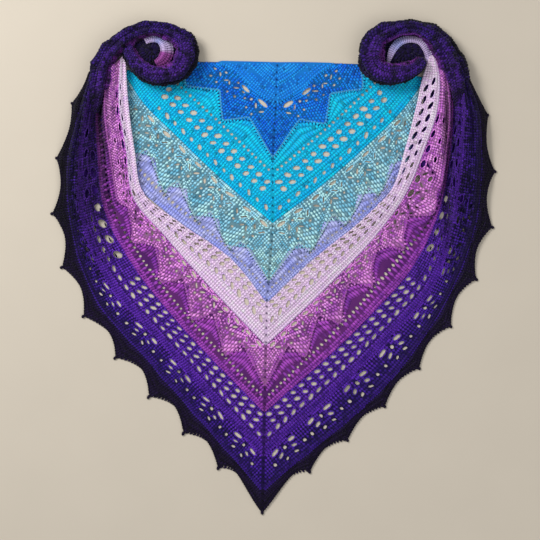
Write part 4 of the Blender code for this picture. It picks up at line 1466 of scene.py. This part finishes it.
def dome_height(side: Side, x: Array, y: Array) -> Array:
    """Height of a coil's dark middle, in mm."""
    cx, cy, rx, ry = TIPS[side]
    reach = np.minimum(((x - cx) / rx) ** 2 + ((y - cy) / ry) ** 2, 1.0)
    return REST_ON_CLOTH + TIP_RIM + (TIP_HEIGHT - TIP_RIM) * (1 - reach)


def to_row(x: Array, y: Array, z: Array) -> Array:
    """Points of the shared frame, in metres, from the layout's millimetres."""
    return np.stack([x - CENTRE[0], y - CENTRE[1], z], -1) * MM


def double_wall(outer: Array, thickness: float, closed_across: bool = False) -> tuple[Array, list]:
    """A closed thin wall from a grid of points on its outer face.

    Args:
        outer: points as rows, columns, 3; metres.
        thickness: wall in mm.
        closed_across: whether the last column joins the first.

    Returns:
        Points and faces.
    """
    rows, columns = outer.shape[:2]
    down = np.gradient(outer, axis=0)
    over = np.gradient(outer, axis=1)
    if closed_across:
        over = np.roll(outer, -1, 1) - np.roll(outer, 1, 1)
    normal = np.cross(down, over)
    normal /= np.linalg.norm(normal, axis=2)[..., None] + 1e-12
    if normal[rows // 2, columns // 2, 2] < 0:
        normal = -normal
    inner = outer - normal * thickness * MM
    inner[..., 2] = np.maximum(inner[..., 2], 0.0)
    points = np.concatenate([outer.reshape(-1, 3), inner.reshape(-1, 3)])
    count = rows * columns
    wide = columns if closed_across else columns - 1
    faces = []
    for r in range(rows - 1):
        for c in range(wide):
            a, b = r * columns + c, r * columns + (c + 1) % columns
            d, e = a + columns, b + columns
            faces += [(a, b, e, d), (a + count, d + count, e + count, b + count)]
    for row in (0, rows - 1):
        for c in range(wide):
            a, b = row * columns + c, row * columns + (c + 1) % columns
            faces.append((a, a + count, b + count, b) if row == 0 else (a, b, b + count, a + count))
    if not closed_across:
        for column in (0, columns - 1):
            for r in range(rows - 1):
                a, d = r * columns + column, (r + 1) * columns + column
                faces.append((a, d, d + count, a + count) if column == 0
                             else (a, a + count, d + count, d))
    return points, faces


def solid_object(name: str, points: Array, faces: list, colours: Array,
                 finish: bpy.types.Material) -> bpy.types.Object:
    """A smooth mesh object with outward faces and its yarn's colours."""
    mesh = bpy.data.meshes.new(name)
    mesh.from_pydata([tuple(p) for p in points], [], faces)
    turn_outwards(mesh)
    paint(mesh, colours)
    mesh.materials.append(finish)
    return placed(mesh)


@dataclass
class Coil:
    """The wound end of a wing: a folded rope of cloth that curls round its dark middle."""

    side: Side
    maker: RowMaker
    finish: bpy.types.Material
    stations: int = 110
    across: int = 30
    rows: int = 17
    pitch: float = 4.1
    wall: float = 1.2
    fold_depth: float = .34
    folded: float = 1.1
    low: float = math.radians(-42)
    high: float = math.radians(222)
    lift: float = .5
    chain_lift: float = .9
    slit_lift: float = 1.3
    slit_pitch: float = 15.0
    slit_turns: tuple[int, ...] = (18, 52, 88, 124, 160)

    def __post_init__(self) -> None:
        """Works out the rope's middle line."""
        self.curve = spline(COILS[self.side])
        self.random = np.random.default_rng(SEED + 40 + self.side.value)
        self.length = float(np.linalg.norm(np.diff(self.curve[:, :2], axis=0), axis=1).sum())

    def outwards(self, turn: Array) -> Array:
        """Angle from the coil's outer side, whichever way it is wound."""
        return turn if self.side is Side.LEFT else math.pi - turn

    def place(self, share: Array, turn: Array, raised: float = 0.0) -> Array:
        """Points on the rope, in metres.

        Args:
            share: shares of its length.
            turn: angles round it, in radians, 0 level on one side and pi on the other.
            raised: how far above its surface, in mm.

        Returns:
            One row of x, y, z for each place.
        """
        share, turn = np.broadcast_arrays(np.asarray(share, float), np.asarray(turn, float))
        shape = share.shape
        share, turn = share.ravel(), turn.ravel()
        spot = at_share(self.curve, share)
        ahead = heading(self.curve, share, .01)
        aside = np.stack([-ahead[:, 1], ahead[:, 0]], 1)
        run = share * self.length
        phase = 5 * turn + 9 * share + 1.5 * np.sin(11 * share) + .8 * np.sin(31 * share + 1.4 * turn)
        valley = .5 - .5 * np.cos(phase)
        layer = 1.08 - self.fold_depth * valley ** 1.8
        layer += .14 * grain(run, turn * 15, 24.0) + .10 * grain(run, turn * 12, 10.0, 1.1)
        ends = np.clip(np.minimum(share / .018, (1 - share) / .03), 0, 1)
        layer *= .2 + .8 * np.sqrt(ends * (2 - ends))
        wide, high = spot[:, 2] / 2, spot[:, 3] / 2
        x = spot[:, 0] + aside[:, 0] * np.cos(turn) * (wide * layer + raised)
        y = spot[:, 1] + aside[:, 1] * np.cos(turn) * (wide * layer + raised)
        floor = ground(spot[:, 0], spot[:, 1])
        rise = high * (1 + np.sin(turn) * layer) + raised * np.sin(turn)
        z = np.maximum(floor + np.maximum(rise, 0), ground(x, y) + .3)
        return to_row(x, y, z).reshape(*shape, 3)

    def colours(self, share: Array, turn: Array) -> Array:
        """Colours over the rope: near black outside, violet and purple over the top."""
        out = self.outwards(turn)
        black = srgb(18, 9, 34)
        first = smooth(out, .25, .85)[:, None]
        second = smooth(out, .8, 1.5)[:, None] * (.55 + .45 * np.sin(9 * share + 1))[:, None]
        third = (smooth(out, 2.1, 2.9) * smooth(share, .03, .10) * .75)[:, None]
        colour = mixed(black, srgb(48, 21, 108), first)
        colour = mixed(colour, srgb(74, 32, 134), second)
        colour = mixed(colour, srgb(116, 44, 136), third)
        run = share * self.length
        dark = smooth(grain(run, turn * 11, 15.0, .7) + .5 * grain(run, turn * 11, 6.0), .1, .9)
        dark = dark[:, None] * .7
        start = (.5 + .5 * smooth(share, .04, .16))[:, None]
        return mixed(colour, black, dark) * start

    def cloth(self) -> bpy.types.Object:
        """The thin folded cloth of the rope."""
        share, turn = np.meshgrid(np.linspace(0, 1, self.stations),
                                  np.linspace(self.low, self.high, self.across), indexing="ij")
        points, faces = double_wall(self.place(share, turn), self.wall)
        # The cloth under the stitches is darkened to about a quarter, as painted shade between them.
        colour = self.colours(share.ravel(), turn.ravel()) * .26
        return solid_object(f"{self.side.word}_coil_cloth", points, faces,
                            np.concatenate([colour, colour]), self.finish)

    def run(self, share: Array, half: Array | float, turn: Array | float,
            raised: float) -> tuple[Array, Array, Array]:
        """Feet, heads and sideways directions of stitches that lie along the rope."""
        return (self.place(share - half, turn, raised), self.place(share + half, turn, raised),
                self.place(share, turn + .05, raised) - self.place(share, turn - .05, raised))

    def stitches(self) -> bpy.types.Object:
        """Rows of stitches that run along the rope."""
        field_of = empty_fields()
        edges = np.linspace(self.low, self.high, self.rows + 1)
        share = np.arange(4, self.length - 5, self.pitch) / self.length
        step = self.pitch / self.length / 2
        for number, (first, last) in enumerate(zip(edges[:-1], edges[1:])):
            slip = share + number % 2 * step + self.random.normal(0, .0006, len(share))
            foot, head = self.place(slip, first, self.lift), self.place(slip, last, self.lift)
            middle = (first + last) / 2
            ahead = (self.place(slip + step, middle, self.lift)
                     - self.place(slip - step, middle, self.lift))
            colour = self.colours(slip, np.full(len(slip), middle))
            colour = colour * np.clip(1 + self.random.normal(0, .3, (len(slip), 1)), .35, 1.9)
            kept = self.random.uniform(0, 1, len(slip)) > .09
            field_of[Stitch.LEAF].add(foot[kept], head[kept], ahead[kept], 4.1, 2.4,
                                      np.clip(colour[kept], 0, 1))
            if number % 4:
                continue
            # The chain rows are painted 30% lighter, as a painted highlight on the raised chains.
            field_of[Stitch.LINK].add(*self.run(slip, step, last, self.chain_lift), 2.7, 1.8,
                                      np.clip(colour * 1.3, 0, 1))
        # Near-black puffs along the rope: painted shade in the slits between its folds.
        for turn in np.radians(self.slit_turns):
            at = np.arange(9, self.length - 9, self.slit_pitch)
            at = (at + self.random.uniform(-5, 5, len(at))) / self.length
            half = self.random.uniform(1.2, 3.4, len(at)) / self.length
            spot = turn + self.random.normal(0, .1, len(at))
            field_of[Stitch.PUFF].add(*self.run(at, half, spot, self.slit_lift), 2.6, .9,
                                      np.tile(srgb(12, 6, 24), (len(at), 1)))
        return self.maker.make(f"{self.side.word}_coil_stitches", field_of, self.finish)

    def build(self) -> None:
        """Makes the coil and ties it to the frame."""
        cloth, rows = self.cloth(), self.stitches()
        for piece in (cloth, rows):
            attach(piece, "root")
        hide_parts(f"{self.side.word}_coil")
        LOG.info("%s coil: %.0f mm long, %d triangles", self.side.word, self.length, triangles(rows))


@dataclass
class CoilMiddle:
    """The dark folded end in a coil, and the pale band that lies over it."""

    side: Side
    maker: RowMaker
    finish: bpy.types.Material
    rings: int = 12
    sides: int = 48
    wall: float = 1.2
    row_height: float = 5.4
    row_pitch: float = 4.0

    def dome(self, reach: Array, turn: Array, raised: float = 0.0) -> Array:
        """Points on the dark middle, folded in a spiral, in metres."""
        cx, cy, rx, ry = TIPS[self.side]
        x, y = cx + rx * reach * np.cos(turn), cy + ry * reach * np.sin(turn)
        spiral = np.cos(turn - 9 * reach)
        z = dome_height(self.side, x, y) - 1.5 * (.5 - .5 * spiral) ** 2 * smooth(reach, .05, .3)
        return to_row(x, y, z + raised)

    def dark(self) -> tuple[bpy.types.Object, bpy.types.Object]:
        """The dark middle: its cloth and its stitches."""
        reach = np.concatenate([np.linspace(.04, .99, self.rings), [1.0]])
        turn = np.linspace(0, 2 * math.pi, self.sides, endpoint=False)
        grid = self.dome(*np.meshgrid(reach, turn, indexing="ij"))
        grid[-1, :, 2] = REST_ON_CLOTH * MM
        points, faces = double_wall(grid, self.wall, closed_across=True)
        black, violet = srgb(14, 8, 28), srgb(40, 18, 92)
        tone = np.clip(.25 + .5 * grain(points[:, 0] / MM, points[:, 1] / MM, 9.0), 0, 1)[:, None]
        # The cloth under the stitches is darkened to .55, as painted shade between them.
        cloth = solid_object(f"{self.side.word}_middle_cloth", points, faces,
                             mixed(black, violet, tone) * .55, self.finish)
        field_of = empty_fields()
        random = np.random.default_rng(SEED + 60)
        radius = min(TIPS[self.side][2:])
        for first in np.arange(.1, .95, self.row_height / radius):
            last = min(first + self.row_height / radius, 1.0)
            count = max(int(2 * math.pi * radius * last / self.row_pitch), 5)
            turn = np.linspace(0, 2 * math.pi, count, endpoint=False)
            near, far = np.full(count, first), np.full(count, last)
            foot, head = self.dome(near, turn, .6), self.dome(far, turn, .6)
            ahead = self.dome(far, turn + .05) - self.dome(far, turn - .05)
            tone = random.uniform(0, 1, (count, 1)) * .6
            field_of[Stitch.POST].add(foot, head, ahead, 3.9, 2.0, mixed(black, violet, tone))
        rows = self.maker.make(f"{self.side.word}_middle_stitches", field_of, self.finish)
        return cloth, rows

    def strip(self, share: Array, out: Array, raised: float) -> Array:
        """Points on the pale band, in metres: out is -1 and 1 at its edges."""
        curve = spline(TONGUES[self.side])
        share, out = np.broadcast_arrays(np.asarray(share, float), np.asarray(out, float))
        shape = share.shape
        share, out = share.ravel(), out.ravel()
        spot = at_share(curve, share)
        ahead = heading(curve, share, .02)
        x = spot[:, 0] - ahead[:, 1] * out * spot[:, 2] / 2
        y = spot[:, 1] + ahead[:, 0] * out * spot[:, 2] / 2
        crown = 1.5 * (1 - out**2) + .35 * grain(share * 80, out * 4, 6.0)
        z = dome_height(self.side, x, y) + TONGUE_GAP + crown + raised
        return to_row(x, y, z).reshape(*shape, 3)

    def pale_colours(self, share: Array) -> Array:
        """Colours along the pale band: lilac, a lavender tint, then pink at its lower end."""
        tint = (np.exp(-((share - .30) / .13) ** 2) * .8)[:, None]
        colour = mixed(srgb(214, 192, 236), srgb(160, 172, 236), tint)
        low = smooth(share, .58, .70)[:, None] if self.side is Side.LEFT else tint * 0
        return mixed(colour, srgb(170, 84, 170), low)

    def pale(self) -> tuple[bpy.types.Object, bpy.types.Object]:
        """The pale band over the middle: its cloth and its stitches."""
        share, out = np.meshgrid(np.linspace(0, 1, 40), np.linspace(-1, 1, 7), indexing="ij")
        points, faces = double_wall(self.strip(share, out, .5), .8)
        colour = self.pale_colours(np.concatenate([share.ravel()] * 2))
        word = TONGUE_NODES[self.side]
        # The cloth under the stitches is darkened to .6, as painted shade between them.
        cloth = solid_object(f"{word}_cloth", points, faces, colour * .6, self.finish)
        field_of = empty_fields()
        curve = spline(TONGUES[self.side])
        length = float(np.linalg.norm(np.diff(curve[:, :2], axis=0), axis=1).sum())
        share = np.arange(1.5, length - 1, 3.1) / length
        step = 1.5 / length
        colour = self.pale_colours(share)
        for first, last in ((-1, 0), (0, 1)):
            foot, head = self.strip(share, first, .9), self.strip(share, last, .9)
            ahead = self.strip(share + step, 0, .9) - self.strip(share - step, 0, .9)
            field_of[Stitch.POST].add(foot, head, ahead, 3.0, 1.9, colour)
        for edge in (-.95, 0, .95):
            foot, head = self.strip(share - step, edge, 1.3), self.strip(share + step, edge, 1.3)
            aside = self.strip(share, edge + .05, 1.3) - self.strip(share, edge - .05, 1.3)
            # The chains are painted 5% lighter, as a painted highlight on them.
            field_of[Stitch.LINK].add(foot, head, aside, 2.2, 1.4, np.clip(colour * 1.05, 0, 1))
        rows = self.maker.make(f"{word}_stitches", field_of, self.finish)
        return cloth, rows

    def cuts(self) -> tuple[Point, Point]:
        """Flat width, length and area of the middle with its rim, and of the pale band."""
        wide, long = (2 * (radius + TIP_RIM) * MM for radius in TIPS[self.side][2:])
        line = self.strip(np.linspace(0, 1, 60), 0.0, 0.0)
        length = float(np.linalg.norm(np.diff(line, axis=0), axis=1).sum())
        width = float(spline(TONGUES[self.side])[:, 2].mean()) * MM
        return (wide, long, math.pi / 4 * wide * long), (length, width, length * width)

    def build(self) -> None:
        """Makes the middle of the coil and ties it to the frame."""
        middle_cut, band_cut = self.cuts()
        for (cloth, rows), cut, node, slot in (
                (self.dark(), middle_cut, f"{self.side.word}_tip", "black_yarn"),
                (self.pale(), band_cut, TONGUE_NODES[self.side], "lilac_yarn")):
            for piece in (cloth, rows):
                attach(piece, "root")
            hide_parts(node)
        LOG.info("%s middle made", self.side.word)


@dataclass
class HiddenFolds:
    """The folded layers under a gathered wing, which show only at its sides."""

    layer: ClothLayer
    side: Side
    finish: bpy.types.Material
    shares: Point = (.68, .975)
    rows: int = 26
    across: tuple[float, ...] = (.3, .6, 1.0, 1.5, 2.0, 2.5, 3.0, 3.25, 3.5, 3.75, 4.0, 4.5, 5.0, 5.3)
    levels: tuple[float, ...] = (.04, .2, .27, .33, .5, .57, .63, .8, .87, .93)

    def lowest(self, share: Array, across: Array) -> Array:
        """Lowest underside of the gathered cloth round each place, in metres."""
        numbers = np.arange(len(self.layer.depths))
        found = []
        for a in (-.012, 0, .012):
            for b in (-.2, 0, .2):
                depth = np.interp(across + b, numbers, self.layer.depths)
                found.append(self.layer.place(self.side, share + a, depth)[:, 2])
        return np.min(found, axis=0)

    def build(self) -> bpy.types.Object:
        """Makes the folds, layered at their sides."""
        share, across = np.meshgrid(np.linspace(*self.shares, self.rows), self.across, indexing="ij")
        numbers = np.arange(len(self.layer.depths))
        depth = np.interp(across.ravel(), numbers, self.layer.depths)
        top = self.layer.place(self.side, share.ravel(), depth)
        top[:, 2] = np.maximum(self.lowest(share.ravel(), across.ravel()) - .9 * MM, .4 * MM)
        wide = len(self.across)
        ring = list(range(wide)) + [r * wide + wide - 1 for r in range(1, self.rows)]
        ring += [(self.rows - 1) * wide + c for c in range(wide - 2, -1, -1)]
        ring += [r * wide for r in range(self.rows - 2, 0, -1)]
        middle = top[:, :2].mean(0)
        points, loops = [tuple(p) for p in top], [ring]
        for k, level in enumerate(reversed(self.levels)):
            inset = 1.6 * MM if k % 3 == 1 else 0.0
            loop = []
            for n in ring:
                aside = middle - top[n, :2]
                aside = aside / (np.linalg.norm(aside) + 1e-9)
                loop.append(len(points))
                points.append((*(top[n, :2] + aside * inset), top[n, 2] * level))
            loops.append(loop)
        base = []
        for n in ring:
            base.append(len(points))
            points.append((top[n, 0], top[n, 1], 0.0))
        loops.append(base)
        faces = [(r * wide + c, r * wide + c + 1, (r + 1) * wide + c + 1, (r + 1) * wide + c)
                 for r in range(self.rows - 1) for c in range(wide - 1)]
        for upper, lower in zip(loops[:-1], loops[1:]):
            for k in range(len(ring)):
                n = (k + 1) % len(ring)
                faces.append((upper[k], upper[n], lower[n], lower[k]))
        faces.append(tuple(reversed(base)))
        spots = np.array(points)
        tone = np.clip(.5 + .5 * np.sin(spots[:, 2] / MM * 1.9), 0, 1)[:, None]
        colour = mixed(srgb(36, 14, 84), srgb(70, 28, 142), tone)
        # Their colours are darkened to .7, as painted shade under the gathered wing.
        piece = solid_object(f"{self.side.word}_hidden_folds", spots, faces, colour * .7, self.finish)
        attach(piece, "root")
        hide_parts(f"{self.side.word}_gather_core")
        return piece


@dataclass(frozen=True)
class YarnFinish:
    """Soft cotton yarn: its plies, fuzz and sheen over the colour of each stitch, and painted shade on
    each stitch's low parts and ends.
    """

    name: str
    roughness: float = .78
    sheen: float = .10
    sheen_roughness: float = .45
    shine: float = .12
    ply: float = 1500.0
    fuzz: float = 3800.0
    relief: float = .35
    # How dark the lowest parts of a stitch are painted, as painted shade.
    deepest: float = .60

    def material(self) -> bpy.types.Material:
        """The finish as a material that reads each piece's own yarn colours, darkened where their rise
        is low as painted shade.
        """
        yarn = bpy.data.materials.new(self.name)
        yarn.use_nodes = True
        nodes, links = yarn.node_tree.nodes, yarn.node_tree.links
        shader = nodes["Principled BSDF"]
        for socket, value in (("Roughness", self.roughness), ("Sheen Weight", self.sheen),
                              ("Sheen Roughness", self.sheen_roughness),
                              ("Specular IOR Level", self.shine)):
            shader.inputs[socket].default_value = value
        colour = add_node(nodes, "ShaderNodeAttribute", attribute_name="yarn")
        rise = add_node(nodes, "ShaderNodeAttribute", attribute_name="rise")
        place = nodes.new("ShaderNodeTexCoord")
        ply = add_node(nodes, "ShaderNodeTexWave", {"Scale": self.ply, "Distortion": 2.5, "Detail": 1.0},
                       wave_type="BANDS", bands_direction="DIAGONAL")
        fuzz = add_node(nodes, "ShaderNodeTexNoise", {"Scale": self.fuzz, "Detail": 2.0})
        worn = add_node(nodes, "ShaderNodeMapRange", {"To Min": .80, "To Max": 1.12})
        # Painted shade: the colour is scaled down where the rise is low.
        rise_painted_shade = add_node(nodes, "ShaderNodeMapRange", {"To Min": self.deepest, "To Max": 1.0})
        shade = add_node(nodes, "ShaderNodeMath", operation="MULTIPLY")
        shaded = add_node(nodes, "ShaderNodeVectorMath", operation="SCALE")
        both = add_node(nodes, "ShaderNodeMath", operation="ADD")
        bump = add_node(nodes, "ShaderNodeBump", {"Strength": self.relief, "Distance": .0003})
        for start, end in ((place.outputs["Object"], ply.inputs["Vector"]),
                           (place.outputs["Object"], fuzz.inputs["Vector"]),
                           (fuzz.outputs["Fac"], worn.inputs["Value"]),
                           (colour.outputs["Color"], shaded.inputs[0]),
                           (rise.outputs["Fac"], rise_painted_shade.inputs["Value"]),
                           (worn.outputs["Result"], shade.inputs[0]),
                           (rise_painted_shade.outputs["Result"], shade.inputs[1]),
                           (shade.outputs[0], shaded.inputs["Scale"]),
                           (shaded.outputs[0], shader.inputs["Base Color"]),
                           (ply.outputs["Fac"], both.inputs[0]),
                           (fuzz.outputs["Fac"], both.inputs[1]),
                           (both.outputs[0], bump.inputs["Height"]),
                           (bump.outputs["Normal"], shader.inputs["Normal"])):
            links.new(start, end)
        return yarn


@dataclass(frozen=True)
class PaleFloor:
    """A plain pale floor, far wider than the view."""

    width: float = 8.0
    colour: Colour = (.60, .53, .43)

    def build(self) -> bpy.types.Object:
        """Makes the floor."""
        half = self.width / 2
        mesh = bpy.data.meshes.new("floor")
        mesh.from_pydata([(-half, -half, 0), (half, -half, 0), (half, half, 0), (-half, half, 0)],
                         [], [(0, 1, 2, 3)])
        paint_of = bpy.data.materials.new("floor_paint")
        paint_of.use_nodes = True
        nodes, links = paint_of.node_tree.nodes, paint_of.node_tree.links
        shader = nodes["Principled BSDF"]
        shader.inputs["Roughness"].default_value = .7
        place = nodes.new("ShaderNodeTexCoord")
        mottle = add_node(nodes, "ShaderNodeTexNoise", {"Scale": 9.0})
        ramp = nodes.new("ShaderNodeValToRGB")
        ramp.color_ramp.elements[0].color = (*(c * .97 for c in self.colour), 1)
        ramp.color_ramp.elements[1].color = (*(min(c * 1.03, 1) for c in self.colour), 1)
        links.new(place.outputs["Object"], mottle.inputs["Vector"])
        links.new(mottle.outputs["Fac"], ramp.inputs["Fac"])
        links.new(ramp.outputs["Color"], shader.inputs["Base Color"])
        mesh.materials.append(paint_of)
        floor = placed(mesh)
        return floor


@dataclass(frozen=True)
class Studio:
    """Soft light from above and the side, and a camera that looks straight down."""

    camera_at: Point = (-.0054, -.0046, 3.0)
    frame_width: float = .8208
    sensor: float = 36.0

    def light(self, name: str, at: Point, size: float, power: float) -> None:
        """A square soft light that faces the middle of the shawl."""
        lamp = bpy.data.lights.new(name, "AREA")
        lamp.shape, lamp.size, lamp.energy = "SQUARE", size, power
        holder = placed(lamp)
        holder.location = at
        holder.rotation_euler = (-Vector(at)).to_track_quat("-Z", "Y").to_euler()

    def build(self) -> None:
        """Makes the lights, the surroundings and the camera."""
        self.light("window", (-1.3, 1.2, 1.5), 1.0, 42.0)
        self.light("fill", (1.4, -.9, 2.2), 2.0, 16.0)
        world = bpy.data.worlds.new("studio")
        world.use_nodes = True
        world.node_tree.nodes["Background"].inputs["Color"].default_value = (.95, .97, 1.0, 1)
        world.node_tree.nodes["Background"].inputs["Strength"].default_value = .42
        bpy.context.scene.world = world
        lens = bpy.data.cameras.new("camera")
        lens.sensor_width = self.sensor
        lens.lens = self.sensor * self.camera_at[2] / self.frame_width
        lens.clip_start, lens.clip_end = .05, 20.0
        camera = placed(lens)
        camera.location = self.camera_at
        bpy.context.scene.camera = camera
        bpy.context.scene.view_settings.view_transform = "Standard"


def main() -> None:
    """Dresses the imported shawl, from its floor up."""
    logging.basicConfig(level=logging.INFO, format="%(name)s: %(message)s")
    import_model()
    Studio().build()
    PaleFloor().build()
    cotton = YarnFinish("cotton_yarn").material()
    lower = ClothLayer(LOWER_BANDS, LOWER_EDGES, LOWER_TEETH, bends=False, creases=LOWER_CREASES)
    upper = ClothLayer(UPPER_BANDS, upper_edges(), UPPER_TEETH, bends=True, creases=UPPER_CREASES)
    pattern = StitchPattern()
    maker = RowMaker(pattern)
    for layer in (lower, upper):
        for index, name in enumerate(layer.bands):
            kind = NeckPiece if name == "blue_rows" else BandPiece
            band = kind(BandShell(layer, index, BAND_LOOKS[name]), maker, cotton)
            if name == "purple_mesh":
                band.under = [HiddenFolds(layer, side, cotton).build() for side in Side]
            band.build()
    for side in Side:
        Coil(side, maker, cotton).build()
        CoilMiddle(side, maker, cotton).build()
    pattern.clear()
    bpy.context.view_layer.update()


if __name__ == "__main__":
    main()
